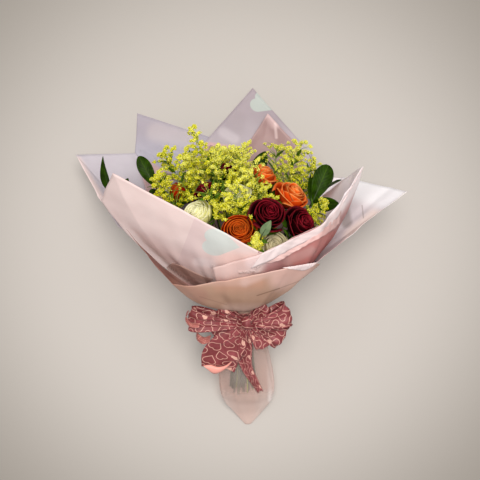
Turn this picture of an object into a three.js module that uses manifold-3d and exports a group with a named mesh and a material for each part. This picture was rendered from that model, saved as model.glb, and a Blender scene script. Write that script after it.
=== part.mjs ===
// A mixed bouquet of roses, goldenrod and leafy sprigs, hand-tied, wrapped in paper and lying on its back.
// Millimetres and degrees. It is drawn standing on its stems, in the bouquet's own frame: x to the right,
// y to the back, z up along the stems, with the origin where the stems are tied. The last lines lay it down.
import * as THREE from "three";
import { mergeVertices } from "three/addons/utils/BufferGeometryUtils.js";
import Module from "manifold-3d";

const wasm = await Module();
wasm.setup();

// ---- how it lies ----
const REST_TILT = 22; // the stems' axis above the surface
const TIE_HEIGHT = 86; // the tie above the surface
const GAP = 0.4; // air kept between two pieces that touch

// ---- stems ----
const STEM_BELOW = 147; // from the tie to the cut ends
const STEM_SPREAD_UP = 0.039; // how fast the bunch opens above the tie, per mm
const STEM_SPREAD_DOWN = 0.0105; // and below it
const SPIRAL_TURN = 26; // the stems' spiral, either side of the tie
const ROSE_STEM_R = 2.1;
const SPRAY_STEM_R = 1.2;
const SPRIG_STEM_R = 1.4;

// ---- goldenrod ----
const FLORET = 5.4; // half the width of a tuft of florets
const TUFT_PITCH = 9.2; // from tuft to tuft along a branch
const TWIG_R = 0.75;

// ---- paper and ribbon ----
const PAPER = 0.9; // thickness of a sheet
const LAYER = 1.7; // pitch from sheet to sheet
const OUTER_LAYER = 4; // the layer that lies on the surface
const NECK_LOW = -12; // the sheets are gathered straight from here
const NECK_HIGH = 6.5; // to here, and open above it
const NECK_STAGGER = 1.2; // each inner sheet opens this much higher
const TWINE = 2.2; // thickness of the twine
const RIBBON = 0.9; // thickness of the ribbon

const COLOURS = {
  red: { color: 0x6e0a1c, roughness: 0.62 },
  orange: { color: 0xe8641c, roughness: 0.58 },
  white: { color: 0xe9ead2, roughness: 0.58 },
  goldenrod: { color: 0xc9c822, roughness: 0.8 },
  stem: { color: 0x55752f, roughness: 0.6 },
  leaf: { color: 0x2f5a22, roughness: 0.4 },
  paper: { color: 0xe9c8c6, roughness: 0.7 },
  ribbon: { color: 0xb5606a, roughness: 0.5 },
  twine: { color: 0xb79b6c, roughness: 0.9 },
};

const vec = (x, y, z) => new THREE.Vector3(x, y, z);
const rad = THREE.MathUtils.degToRad;
const UP = vec(0, 0, 1);

// A direction `polar` degrees off the stems' axis, at `azimuth` degrees: 0 front, 90 right, 180 back.
function direction(polar, azimuth) {
  const p = rad(polar);
  const a = rad(azimuth);
  return vec(Math.sin(p) * Math.sin(a), -Math.sin(p) * Math.cos(a), Math.cos(p));
}

// The surface that the bouquet lies on is a plane in the bouquet's frame: this is its y at height z.
function surfaceY(z) {
  return z * Math.tan(rad(REST_TILT)) + TIE_HEIGHT / Math.cos(rad(REST_TILT));
}

// A seeded random draw, the same on each run.
function seeded(seed) {
  let state = seed * 2654435761;
  return () => {
    state = (state + 0x6d2b79f5) | 0;
    let t = Math.imul(state ^ (state >>> 15), 1 | state);
    t = (t + Math.imul(t ^ (t >>> 7), 61 | t)) ^ t;
    return ((t ^ (t >>> 14)) >>> 0) / 4294967296;
  };
}

// ---- closed meshes ----

// Points and faces as a geometry whose faces point out.
function closedMesh(points, faces) {
  let volume = 0;
  for (const [a, b, c] of faces) volume += points[a].dot(points[b].clone().cross(points[c]));
  const geometry = new THREE.BufferGeometry();
  geometry.setAttribute("position", new THREE.Float32BufferAttribute(points.flatMap((p) => [p.x, p.y, p.z]), 3));
  geometry.setIndex(faces.flatMap(([a, b, c]) => (volume < 0 ? [a, c, b] : [a, b, c])));
  return geometry;
}

// A thin blade over a grid of points, its middle surface. The quads are split alike on both faces.
function bladeOver(grid, thickness) {
  const across = grid.length - 1;
  const along = grid[0].length - 1;
  const points = [];
  for (const side of [-0.5, 0.5]) {
    for (let i = 0; i <= across; i++) {
      for (let j = 0; j <= along; j++) {
        const du = grid[Math.min(i + 1, across)][j].clone().sub(grid[Math.max(i - 1, 0)][j]);
        const dv = grid[i][Math.min(j + 1, along)].clone().sub(grid[i][Math.max(j - 1, 0)]);
        points.push(grid[i][j].clone().addScaledVector(du.cross(dv).normalize(), side * thickness));
      }
    }
  }
  const layer = (across + 1) * (along + 1);
  const id = (i, j) => i * (along + 1) + j;
  const faces = [];
  for (let i = 0; i < across; i++) {
    for (let j = 0; j < along; j++) {
      const [a, b, c, d] = [id(i, j), id(i + 1, j), id(i + 1, j + 1), id(i, j + 1)];
      faces.push([a, c, b], [a, d, c]);
      faces.push([a + layer, b + layer, c + layer], [a + layer, c + layer, d + layer]);
    }
  }
  const rim = [];
  for (let i = 0; i < across; i++) rim.push(id(i, 0));
  for (let j = 0; j < along; j++) rim.push(id(across, j));
  for (let i = across; i > 0; i--) rim.push(id(i, along));
  for (let j = along; j > 0; j--) rim.push(id(0, j));
  rim.forEach((a, n) => {
    const b = rim[(n + 1) % rim.length];
    faces.push([a, b, b + layer], [a, b + layer, a + layer]);
  });
  return closedMesh(points, faces);
}

// The same over at(u, v), u and v from 0 to 1, cut into `across` by `along` quads.
function blade(at, across, along, thickness) {
  const steps = (count) => Array.from({ length: count + 1 }, (_, k) => k / count);
  return bladeOver(
    steps(across).map((u) => steps(along).map((v) => at(u, v))),
    thickness,
  );
}

// A tube of `sides` flats along a list of points, with its radius at each.
function tube(path, radii, sides) {
  const points = [];
  let across = vec(1, 0.13, 0);
  path.forEach((p, k) => {
    const along = path[Math.min(k + 1, path.length - 1)].clone().sub(path[Math.max(k - 1, 0)]).normalize();
    across = across.clone().addScaledVector(along, -across.dot(along)).normalize();
    const other = along.clone().cross(across);
    for (let s = 0; s < sides; s++) {
      const turn = (2 * Math.PI * s) / sides;
      const r = typeof radii === "number" ? radii : radii[k];
      points.push(
        p.clone().addScaledVector(across, r * Math.cos(turn)).addScaledVector(other, r * Math.sin(turn)),
      );
    }
  });
  const faces = [];
  for (let k = 0; k + 1 < path.length; k++) {
    for (let s = 0; s < sides; s++) {
      const [a, b] = [k * sides + s, k * sides + ((s + 1) % sides)];
      faces.push([a, b, b + sides], [a, b + sides, a + sides]);
    }
  }
  const last = (path.length - 1) * sides;
  for (let s = 1; s + 1 < sides; s++) faces.push([0, s + 1, s], [last, last + s, last + s + 1]);
  return closedMesh(points, faces);
}

// ---- joining ----

function solidOf(geometry) {
  const bare = new THREE.BufferGeometry();
  bare.setAttribute("position", geometry.getAttribute("position"));
  if (geometry.index) bare.setIndex(geometry.index);
  const merged = mergeVertices(bare, 1e-4);
  return new wasm.Manifold(
    new wasm.Mesh({
      numProp: 3,
      vertProperties: new Float32Array(merged.attributes.position.array),
      triVerts: new Uint32Array(merged.index.array),
    }),
  );
}

function geometryOf(solid) {
  const { vertProperties, triVerts } = solid.getMesh();
  const geometry = new THREE.BufferGeometry();
  geometry.setAttribute("position", new THREE.BufferAttribute(new Float32Array(vertProperties), 3));
  geometry.setIndex(new THREE.BufferAttribute(new Uint32Array(triVerts), 1));
  return geometry;
}

// All the pieces as one solid. A scrap that touches nothing is dropped.
function fuse(geometries) {
  const joined = geometries.map(solidOf).reduce((all, one) => all.add(one)).simplify(0.08);
  const bodies = joined.decompose().sort((a, b) => b.volume() - a.volume());
  return geometryOf(bodies[0]);
}

const bouquet = new THREE.Group();

function addPiece(name, geometry, finish) {
  const material = new THREE.MeshStandardMaterial({ ...COLOURS[finish], metalness: 0 });
  const mesh = new THREE.Mesh(geometry, material);
  mesh.name = name;
  bouquet.add(mesh);
  return mesh;
}

// ---- what is in the bunch ----

// polar, azimuth: where the bloom's face lies. reach: from the tie to that face. width: across the bloom.
const ROSES = [
  { name: "rose_orange_front", finish: "orange", polar: 26.7, azimuth: -4, reach: 200, width: 46 },
  { name: "rose_red_front", finish: "red", polar: 24, azimuth: 25, reach: 221, width: 48 },
  { name: "rose_red_right", finish: "red", polar: 32, azimuth: 53, reach: 210, width: 46 },
  { name: "rose_white_front", finish: "white", polar: 33.2, azimuth: 27, reach: 182, width: 40 },
  { name: "rose_orange_right", finish: "orange", polar: 21, azimuth: 80, reach: 216, width: 45 },
  { name: "rose_white_left", finish: "white", polar: 25.5, azimuth: -52, reach: 208, width: 44 },
  { name: "rose_white_middle", finish: "white", polar: 9, azimuth: -17, reach: 213, width: 40 },
  { name: "rose_red_left", finish: "red", polar: 16, azimuth: -90, reach: 208, width: 40 },
  { name: "rose_orange_left", finish: "orange", polar: 31.3, azimuth: -111, reach: 211, width: 39 },
  { name: "rose_orange_middle", finish: "orange", polar: 9.5, azimuth: 125, reach: 222, width: 42 },
  { name: "rose_red_middle", finish: "red", polar: 13, azimuth: -140, reach: 221, width: 38 },
  { name: "rose_white_right", finish: "white", polar: 36, azimuth: 88, reach: 184, width: 38 },
  { name: "rose_red_back", finish: "red", polar: 36, azimuth: 158, reach: 192, width: 42 },
  { name: "rose_orange_back", finish: "orange", polar: 37, azimuth: -158, reach: 192, width: 42 },
];
const BLOOM_NOD = 1.55; // a bloom leans this much further out than its place
const BLOOM_HEIGHT = 0.84; // height over width

// base: where the flowering part starts, between the roses. tip: where it ends. spread: its longest branch.
const SPRAYS = [
  { name: "goldenrod_tall", base: [-27, -2, 186], tip: [-73, 10, 280], spread: 24 },
  { name: "goldenrod_left", base: [-70, 8, 168], tip: [-113, 30, 234], spread: 32 },
  { name: "goldenrod_left_low", base: [-90, -4, 158], tip: [-122, -2, 210], spread: 28 },
  { name: "goldenrod_left_middle", base: [-58, 38, 172], tip: [-80, 25, 232], spread: 36 },
  { name: "goldenrod_middle", base: [-24, 5, 184], tip: [-43, 16, 240], spread: 36 },
  { name: "goldenrod_back_middle", base: [0, 8, 182], tip: [-6, 36, 238], spread: 36 },
  { name: "goldenrod_back_left", base: [-14, 66, 158], tip: [-38, 92, 204], spread: 40 },
  { name: "goldenrod_back_right", base: [40, 42, 168], tip: [50, 64, 228], spread: 38 },
  { name: "goldenrod_arching", base: [56, 38, 162], tip: [83, 60, 236], spread: 32 },
  { name: "goldenrod_right", base: [74, 30, 158], tip: [102, 45, 214], spread: 34 },
  { name: "goldenrod_centre", base: [26, -24, 178], tip: [12, -26, 232], spread: 36 },
  { name: "goldenrod_front_middle", base: [-1, -55, 174], tip: [-13, -50, 216], spread: 30 },
  { name: "goldenrod_front_left", base: [-38, -30, 174], tip: [-48, -54, 214], spread: 36 },
  { name: "goldenrod_front", base: [15, -82, 140], tip: [18, -98, 162], spread: 17 },
  { name: "goldenrod_right_low", base: [80, -30, 150], tip: [114, -34, 186], spread: 20 },
];
const BRANCHES = 6;

// A sprig's stem ends at `end`. Its leaves spring from the stem, `back` from that end, and run to `to`.
const SPRIGS = [
  {
    name: "sprig_left",
    end: [-125, 20, 186],
    leaves: [
      { back: 0, to: [-148, 40, 224], width: 20 },
      { back: 6, to: [-134, 12, 174], width: 13 },
    ],
  },
  {
    name: "sprig_far_left",
    end: [-187, 12, 179],
    leaves: [
      { back: 0, to: [-196, 22, 232], width: 18 },
      { back: 10, to: [-166, 52, 184], width: 12 },
    ],
  },
  {
    name: "sprig_right",
    end: [97, -12, 177],
    leaves: [
      { back: 0, to: [119, 14, 222], width: 27 },
      { back: 2, to: [139, 20, 196], width: 21 },
      { back: 5, to: [132, -27, 182], width: 20 },
      { back: 3, to: [97, 24, 206], width: 11 },
    ],
  },
  {
    name: "sprig_front",
    end: [24, -103, 172],
    leaves: [{ back: 0, to: [36, -112, 199], width: 12 }],
  },
  {
    name: "sprig_back",
    end: [12, 96, 158],
    leaves: [
      { back: 0, to: [34, 122, 196], width: 21 },
      { back: 8, to: [-25, 121, 176], width: 19 },
    ],
  },
];

// ---- stems through the tie ----

// The bunch opens away from the tie both ways, turning as it goes, so that no two stems meet.
function opening(z) {
  const rate = z > 0 ? STEM_SPREAD_UP : STEM_SPREAD_DOWN;
  return Math.sqrt(1 + (rate * z) ** 2);
}

function spiral(z) {
  return rad(SPIRAL_TURN) * Math.tanh(z / 70);
}

function turned(point, angle) {
  return point.clone().applyAxisAngle(UP, angle);
}

// Where each stem passes the tie: the place that the spread asks for, then pushed apart to lie side by side.
function packAtTie(stems) {
  const CLEAR = GAP + 0.15;
  const wanted = stems.map(({ end }) =>
    turned(vec(end.x, end.y, 0), -spiral(end.z)).divideScalar(opening(end.z)),
  );
  const placed = wanted.map((p) => p.clone());
  for (let round = 0; round < 400; round++) {
    placed.forEach((p) => p.multiplyScalar(0.998));
    for (let i = 0; i < placed.length; i++) {
      for (let j = 0; j < i; j++) {
        const apart = placed[i].clone().sub(placed[j]);
        const short = stems[i].radius + stems[j].radius + CLEAR - apart.length();
        if (short <= 0) continue;
        apart.setLength(short / 2 + 1e-4);
        placed[i].add(apart);
        placed[j].sub(apart);
      }
    }
  }
  stems.forEach((stem, k) => {
    stem.wanted = wanted[k];
    stem.shift = placed[k].clone().sub(wanted[k]);
  });
}

// A stem's centre at height z: it eases from its place at the tie into the spread.
function stemAt(stem, z) {
  const EASE_HEIGHT = 100;
  const ease = z <= 0 ? 1 : 1 - THREE.MathUtils.smoothstep(z, 0, EASE_HEIGHT);
  const spread = stem.wanted.clone().addScaledVector(stem.shift, z <= 0 ? 1 : 0);
  const centre = turned(spread, spiral(z)).multiplyScalar(opening(z));
  if (z > 0) centre.add(turned(stem.shift, spiral(z)).multiplyScalar(ease * opening(z) ** 0.5));
  centre.z = z;
  return centre;
}

// The stem's path from its cut end to `end`, arriving along `arrive`.
function stemPath(stem) {
  const heights = [-stem.below, -60, 0, 40, 85, 125];
  const path = heights.filter((z) => z < stem.end.z - 22).map((z) => stemAt(stem, z));
  path.push(stem.end.clone().addScaledVector(stem.arrive, -11), stem.end.clone());
  return path;
}

// ---- room taken by what is already placed, as balls ----
const taken = [];

function take(owner, centre, radius) {
  taken.push({ owner, centre: centre.clone(), radius });
}

function isFree(owner, centre, radius) {
  if (centre.y + radius > surfaceY(centre.z) - 12) return false;
  return taken.every((t) => t.owner === owner || t.centre.distanceTo(centre) > t.radius + radius + GAP);
}

function takePath(owner, path, radius) {
  const curve = new THREE.CatmullRomCurve3(path);
  const count = Math.ceil(curve.getLength() / 4);
  for (let k = 0; k <= count; k++) take(owner, curve.getPointAt(k / count), radius);
}

// ---- roses ----

// Turns a geometry drawn about +z at the origin so that +z points along `axis` and the origin lies at `base`.
function seat(geometry, base, axis, spin) {
  const turn = new THREE.Quaternion().setFromUnitVectors(UP, axis);
  turn.multiply(new THREE.Quaternion().setFromAxisAngle(UP, spin));
  return geometry.applyQuaternion(turn).translate(base.x, base.y, base.z);
}

// The bloom's whorls from the outside in, as shares of its half width and height: the number of petals, how
// far their lips stand out and up, the lips' thickness, and the furrow that parts them from the next whorl.
const WHORLS = [
  { petals: 5, shift: 0, lip: 1.0, top: 0.78, drop: 0.16, furrow: [0.76, 0.46] },
  { petals: 5, shift: 2, lip: 0.79, top: 0.93, drop: 0.13, furrow: [0.52, 0.58] },
  { petals: 3, shift: 1, lip: 0.5, top: 1.0, drop: 0.1, furrow: [0.22, 0.68] },
];
const BLOOM_SIDES = 15; // shared out among three or five petals
const LIP = 0.075; // a petal's lip, thick enough to stand

// A rose: each whorl rises to a lip that is lower where two petals meet, and each petal winds outwards
// from under the one before it.
function roseBloom(width) {
  const WIND = 0.1;
  const half = width / 2;
  const height = width * BLOOM_HEIGHT;
  const rows = [
    () => [0.24, 0],
    (k) => [0.62 + 0.05 * Math.cos((k % 3) * 2.1), 0.2],
  ];
  for (const { petals, shift, lip, top, drop, furrow } of WHORLS) {
    const per = BLOOM_SIDES / petals;
    const share = (k) => ((k + shift) % per) / per;
    const wind = (k) => 1 + WIND * (share(k) - 0.4);
    const dip = (k) => drop * (share(k) === 0 ? 1 : 0.35 * Math.abs(2 * share(k) - 1));
    rows.push((k) => [lip * wind(k), top - dip(k)]);
    rows.push((k) => [(lip - LIP) * wind(k), top - dip(k) + 0.01]);
    rows.push(() => furrow);
  }
  const points = [vec(0, 0, 0)];
  rows.forEach((row) => {
    for (let k = 0; k < BLOOM_SIDES; k++) {
      const [radius, rise] = row(k);
      const turn = (2 * Math.PI * k) / BLOOM_SIDES;
      points.push(vec(radius * half * Math.cos(turn), radius * half * Math.sin(turn), rise * height));
    }
  });
  points.push(vec(0, 0, 1.02 * height));
  const faces = [];
  for (let k = 0; k < BLOOM_SIDES; k++) {
    const next = (k + 1) % BLOOM_SIDES;
    faces.push([0, 1 + next, 1 + k]);
    for (let r = 0; r + 1 < rows.length; r++) {
      const [a, b] = [1 + r * BLOOM_SIDES + k, 1 + r * BLOOM_SIDES + next];
      faces.push([a, b, b + BLOOM_SIDES], [a, b + BLOOM_SIDES, a + BLOOM_SIDES]);
    }
    const last = 1 + (rows.length - 1) * BLOOM_SIDES;
    faces.push([last + k, last + next, points.length - 1]);
  }
  return closedMesh(points, faces);
}

// ---- goldenrod ----

// A branch as a string of tufts: it swells into one every TUFT_PITCH, set a little to either side in turn, and
// ends before anything in its way.
function tuftedBranch(owner, path, first, size) {
  const curve = new THREE.CatmullRomCurve3(path);
  const length = curve.getLength();
  const points = [path[0]];
  const radii = [TWIG_R];
  for (let k = 0; first + k * TUFT_PITCH <= length; k++) {
    const share = (first + k * TUFT_PITCH) / length;
    const along = curve.getTangentAt(share);
    const aside = vec(0.2, 0.3, 1).cross(along).applyAxisAngle(along, 2.4 * k).normalize();
    const centre = curve.getPointAt(share).addScaledVector(aside, 0.35 * size);
    const tuft = size * (1 - 0.25 * share);
    const twig = points[points.length - 1].clone().lerp(centre, 0.5);
    if (!isFree(owner, centre, tuft) || !isFree(owner, twig, 1.5)) break;
    take(owner, centre, tuft);
    take(owner, twig, 1.5);
    if (k > 0) {
      points.push(twig);
      radii.push(TWIG_R);
    }
    points.push(centre);
    radii.push(tuft);
  }
  if (points.length < 2) return null;
  const last = points[points.length - 1];
  points.push(last.clone().addScaledVector(curve.getTangentAt(1), size * 0.85));
  radii.push(0.4);
  return tube(points, radii, 4);
}

function sprayPieces(spray) {
  const random = seeded(spray.name.length * 97 + spray.tip[2]);
  const base = spray.stem.end;
  const tip = vec(...spray.tip);
  const axis = tip.clone().sub(base).normalize();
  const across = vec(0.31, 0.17, 0.93).cross(axis).normalize();
  const pieces = [tuftedBranch(spray.name, [base.clone().lerp(tip, 0.72), tip], 2, FLORET)];
  for (let k = 0; k < BRANCHES; k++) {
    const share = (0.7 * k) / BRANCHES;
    const root = base.clone().lerp(tip, share);
    const out = across.clone().applyAxisAngle(axis, rad(137.5 * k + 40 * random()));
    const reach = spray.spread * (1 - 0.5 * share) * (0.85 + 0.3 * random());
    const elbow = root.clone().addScaledVector(out, 0.5 * reach).addScaledVector(axis, 0.3 * reach);
    const end = root.clone().addScaledVector(out, reach).addScaledVector(axis, 0.75 * reach);
    pieces.push(tuftedBranch(spray.name, [root, elbow, end], 8, FLORET));
  }
  return pieces.filter(Boolean);
}

// ---- leaves ----

// An oval leaf from `root` to `tip`, with its face turned up and to the front, folded a little at its rib
// and bent back at its tip.
function leaf(root, tip, width) {
  const out = tip.clone().sub(root);
  const length = out.length();
  out.normalize();
  const facing = direction(58, 0);
  const side = out.clone().cross(facing).normalize();
  const normal = side.clone().cross(out);
  const at = (u, v) => {
    const half = (width / 2) * Math.sin(Math.PI * (0.05 + 0.95 * v) ** 0.85) + 0.6;
    const s = 2 * u - 1;
    return root
      .clone()
      .addScaledVector(out, v * length)
      .addScaledVector(side, s * half)
      .addScaledVector(normal, Math.abs(s) * half * 0.3 + 0.3 * length * v * (1 - v));
  };
  return blade(at, 2, 4, 0.8);
}

function sprigPieces(sprig) {
  const end = vec(...sprig.end);
  return sprig.leaves.map(({ back, to, width }) => {
    const root = end.clone().addScaledVector(sprig.stem.arrive, -back - 1);
    const tip = vec(...to);
    for (let t = 0.2; t < 1; t += 0.2) take(sprig.name, root.clone().lerp(tip, t), width * 0.4);
    return leaf(root, tip, width);
  });
}

// ---- the plants, placed ----

const stems = [];
for (const rose of ROSES) {
  const face = direction(rose.polar, rose.azimuth).multiplyScalar(rose.reach);
  const axis = direction(rose.polar * BLOOM_NOD, rose.azimuth);
  const height = rose.width * BLOOM_HEIGHT;
  rose.base = face.clone().addScaledVector(axis, -height);
  rose.axis = axis;
  stems.push({
    name: rose.name.replace("rose", "stem"),
    radius: ROSE_STEM_R,
    end: rose.base.clone().addScaledVector(axis, -GAP),
    arrive: axis,
  });
  [0.3, 0.55, 0.8].forEach((t) => {
    take(rose.name, rose.base.clone().addScaledVector(axis, t * height), rose.width * (t > 0.5 ? 0.44 : 0.36));
  });
}
for (const spray of SPRAYS) {
  const end = vec(...spray.base);
  spray.stem = { name: spray.name, radius: SPRAY_STEM_R, end, arrive: end.clone().normalize() };
  stems.push(spray.stem);
}
for (const sprig of SPRIGS) {
  const end = vec(...sprig.end);
  sprig.stem = { name: sprig.name, radius: SPRIG_STEM_R, end, arrive: end.clone().normalize() };
  stems.push(sprig.stem);
}
const cutRandom = seeded(5);
stems.forEach((stem) => {
  stem.below = STEM_BELOW - 10 * cutRandom();
});
packAtTie(stems);
for (const stem of stems) {
  stem.path = stemPath(stem);
  takePath(stem.name, stem.path, stem.radius);
}

// How far from the axis the stems reach at height z, between the first points of their paths above or below 0.
function bunchReach(z) {
  return Math.max(
    ...stems.map(({ path, radius }) => {
      const [from, to] = z < 0 ? [path[2], path[1]] : [path[2], path[3]];
      const point = from.clone().lerp(to, (z - from.z) / (to.z - from.z));
      return Math.hypot(point.x, point.y) + radius;
    }),
  );
}

ROSES.forEach((rose, k) => {
  const stem = stems[k];
  addPiece(rose.name, seat(roseBloom(rose.width), rose.base, rose.axis, rad(77 * k)), rose.finish);
  const radii = stem.path.map(() => ROSE_STEM_R);
  radii[radii.length - 1] = rose.width * 0.13;
  radii[radii.length - 2] = ROSE_STEM_R * 1.15;
  addPiece(stem.name, tube(stem.path, radii, 5), "stem");
});
for (const sprig of SPRIGS) {
  addPiece(sprig.name, fuse([tube(sprig.stem.path, SPRIG_STEM_R, 4), ...sprigPieces(sprig)]), "leaf");
}
for (const spray of SPRAYS) takePath(spray.name, [spray.stem.end, vec(...spray.tip)], SPRAY_STEM_R);
for (const spray of SPRAYS) {
  const path = [...spray.stem.path, vec(...spray.tip)];
  const radii = path.map((_, k) => (k < path.length - 1 ? SPRAY_STEM_R : TWIG_R));
  addPiece(spray.name, fuse([tube(path, radii, 4), ...sprayPieces(spray)]), "goldenrod");
}

// ---- twine ----

const TWINE_TURNS = 2;
const TWINE_SIDES = 12;
const bunchRadius = Math.max(...[-0.5, 0, 0.5].map((k) => bunchReach(k * TWINE_TURNS * TWINE)));
const twineInside = (bunchRadius + GAP) / Math.cos(Math.PI / TWINE_SIDES); // its flats lie nearer than its corners

// The turns of twine round the stems, side by side.
function twineTie(inside) {
  const corner = (out, z) => new THREE.Vector2(inside + out, z);
  const outline = [corner(0, -0.5 * TWINE_TURNS * TWINE), corner(0, 0.5 * TWINE_TURNS * TWINE)];
  for (let k = TWINE_TURNS - 1; k >= 0; k--) {
    const low = (k - TWINE_TURNS / 2) * TWINE;
    outline.push(corner(TWINE, low + 0.75 * TWINE), corner(TWINE, low + 0.25 * TWINE));
    if (k > 0) outline.push(corner(0.7 * TWINE, low));
  }
  outline.push(outline[0].clone());
  return new THREE.LatheGeometry(outline.reverse(), TWINE_SIDES).rotateX(Math.PI / 2);
}

addPiece("twine_tie", twineTie(twineInside), "twine");
const neckRadius = twineInside + TWINE + GAP;

// ---- paper ----

// A sheet runs from the neck up to its rim, a chain of corners joined by straight edges. `belly` bows it
// outwards between the two, and `layer` is its place in the wrap, counted from the inside. The outer sheets come
// first, because each stays within those before it.
const SHEETS = [
  {
    name: "paper_collar",
    layer: 5,
    belly: 0.18,
    rim: [
      [-162, -45, 152],
      [-96, -100, 96],
      [-65, -108, 98],
      [-7, -118, 116],
      [58, -116, 130],
      [97, -98, 129],
      [113, -70, 114],
    ],
  },
  {
    name: "paper_left_wing",
    layer: 4,
    belly: 0.15,
    rim: [
      [-180, 10, 128],
      [-207, 50, 150],
      [-250, 110, 196],
      [-163, 164, 175],
      [-74, 162, 171],
      [-8, 156, 155],
    ],
  },
  {
    name: "paper_right_wing",
    layer: 4,
    belly: 0.15,
    rim: [
      [20, 158, 150],
      [150, 156, 140],
      [233, 20, 178],
      [176, -10, 147],
      [101, -80, 119],
      [72, -94, 100],
    ],
  },
  {
    name: "paper_back_left",
    layer: 3,
    belly: 0.12,
    rim: [
      [-166, 100, 148],
      [-162, 184, 233],
      [-54, 174, 200],
      [20, 162, 165],
    ],
  },
  {
    name: "paper_front_right",
    layer: 3,
    belly: 0.1,
    rim: [
      [-41, -112, 128],
      [25, -126, 158],
      [63, -110, 171],
      [101, -96, 184],
      [129, -70, 203],
      [162, -30, 240],
      [156, 34, 130],
    ],
  },
  {
    name: "paper_back_tall",
    layer: 2,
    belly: 0.12,
    rim: [
      [-120, 120, 130],
      [-54, 168, 197],
      [15, 197, 269],
      [120, 153, 160],
      [140, 95, 120],
    ],
  },
  {
    name: "paper_front_left",
    layer: 2,
    belly: 0.08,
    rim: [
      [-160, 60, 130],
      [-196, -30, 189],
      [-172, -70, 248],
      [25, -124, 157],
      [76, -108, 118],
    ],
  },
  {
    name: "paper_back_inner",
    layer: 1,
    belly: 0.12,
    rim: [
      [-90, 110, 140],
      [-50, 160, 190],
      [0, 157, 181],
      [38, 178, 235],
      [88, 155, 186],
      [100, 120, 138],
    ],
  },
];
const SHEET_ROWS = 4; // from the neck's top to the rim
const SHEET_COLUMN = 46; // the widest column along a rim
const SHEET_ROOM = 5; // from a sheet out to the one round it, where they don't lie on the surface

// The rim's corners with the long edges cut into columns.
function rimPoints(corners) {
  const points = [];
  for (let k = 0; k + 1 < corners.length; k++) {
    const [a, b] = [corners[k], corners[k + 1]];
    const count = Math.ceil(a.distanceTo(b) / SHEET_COLUMN);
    for (let n = 0; n < count; n++) points.push(a.clone().lerp(b, n / count));
  }
  points.push(corners[corners.length - 1]);
  return points;
}

// How far out from the stems' axis a point of a sheet may lie: within the sheets round it.
function roomInside(point, outer) {
  const out = vec(point.x, point.y, 0).normalize();
  const hits = new THREE.Raycaster(vec(0, 0, point.z), out).intersectObjects(outer, false);
  return Math.min(Math.hypot(point.x, point.y), ...hits.map((hit) => hit.distance - SHEET_ROOM));
}

function sheet({ layer, belly, rim }, outer) {
  const neck = neckRadius + layer * LAYER;
  const lift = (PAPER / 2 + (OUTER_LAYER - layer) * LAYER) / Math.cos(rad(REST_TILT));
  return rimPoints(rim.map(([x, y, z]) => vec(x, y, z))).map((edge) => {
    const out = vec(edge.x, edge.y, 0).normalize();
    const low = out.clone().multiplyScalar(neck).setZ(NECK_LOW);
    const high = low.clone().setZ(NECK_HIGH + (OUTER_LAYER + 1 - layer) * NECK_STAGGER);
    const chord = edge.clone().sub(high);
    const bow = out.clone().addScaledVector(chord, -out.dot(chord) / chord.lengthSq()).normalize();
    const column = [low, high];
    for (let row = 1; row <= SHEET_ROWS; row++) {
      const t = row / SHEET_ROWS;
      const point = high.clone().addScaledVector(chord, t);
      point.addScaledVector(bow, belly * chord.length() * 4 * t * (1 - t));
      const radius = roomInside(point, outer);
      point.set(out.x * radius, out.y * radius, point.z);
      point.y = Math.min(point.y, surfaceY(point.z) - lift);
      column.push(point);
    }
    return column;
  });
}

const placedSheets = [];
for (const entry of SHEETS) {
  placedSheets.push(addPiece(entry.name, bladeOver(sheet(entry, placedSheets), PAPER), "paper"));
}

// The sheet round the stems, from the neck down to a flat point, as ovals: height, centre x and y, half
// width and half depth. Half a turn of it lies on the surface.
const STEM_WRAP = [
  { z: 3, x: 0, y: 0, wide: 0, deep: 0 },
  { z: NECK_LOW, x: 0, y: 0, wide: 0, deep: 0 },
  { z: -45, x: 1, y: 0, wide: 30, deep: 24 },
  { z: -95, x: 3, y: 0, wide: 39, deep: 30 },
  { z: -140, x: 6, y: 1, wide: 43, deep: 32 },
  { z: -170, x: 7, y: 2, wide: 38, deep: 18 },
  { z: -196, x: 8, y: 3, wide: 22, deep: 7 },
  { z: -219, x: 8, y: 2, wide: 5, deep: 1.6 },
];
const WRAP_SIDES = 12;

// A sleeve: rings of points with a wall of `thickness` inside them, open at both ends.
function sleeve(rings, thickness) {
  const sides = rings[0].length;
  const points = [];
  for (const inwards of [0, thickness]) {
    for (const ring of rings) {
      const centre = ring.reduce((sum, p) => sum.add(p), vec(0, 0, 0)).divideScalar(sides);
      ring.forEach((p, k) => {
        const edge = ring[(k + 1) % sides].clone().sub(ring[(k + sides - 1) % sides]);
        const inward = vec(-edge.y, edge.x, 0).normalize();
        if (inward.dot(centre.clone().sub(p)) < 0) inward.negate();
        points.push(p.clone().addScaledVector(inward, inwards));
      });
    }
  }
  const wall = rings.length * sides;
  const faces = [];
  const quad = (a, b, c, d) => faces.push([a, b, c], [a, c, d]);
  for (let k = 0; k < sides; k++) {
    const next = (k + 1) % sides;
    for (let r = 0; r + 1 < rings.length; r++) {
      const [a, b, c, d] = [r * sides + k, r * sides + next, (r + 1) * sides + next, (r + 1) * sides + k];
      quad(a, b, c, d);
      faces.push([a + wall, c + wall, b + wall], [a + wall, d + wall, c + wall]);
    }
    const last = (rings.length - 1) * sides;
    quad(next, k, k + wall, next + wall);
    quad(last + k, last + next, last + next + wall, last + k + wall);
  }
  return closedMesh(points, faces);
}

const wrapRings = STEM_WRAP.map(({ z, x, y, wide, deep }) =>
  Array.from({ length: WRAP_SIDES }, (_, k) => {
    const turn = (2 * Math.PI * k) / WRAP_SIDES;
    const neck = neckRadius + PAPER;
    const point = vec(x + (wide || neck) * Math.cos(turn), y + (deep || neck) * Math.sin(turn), z);
    point.y = Math.min(point.y, surfaceY(z));
    return point;
  }),
);
addPiece("paper_stem_wrap", sleeve(wrapRings, PAPER), "paper");

// ---- ribbon ----

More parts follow.
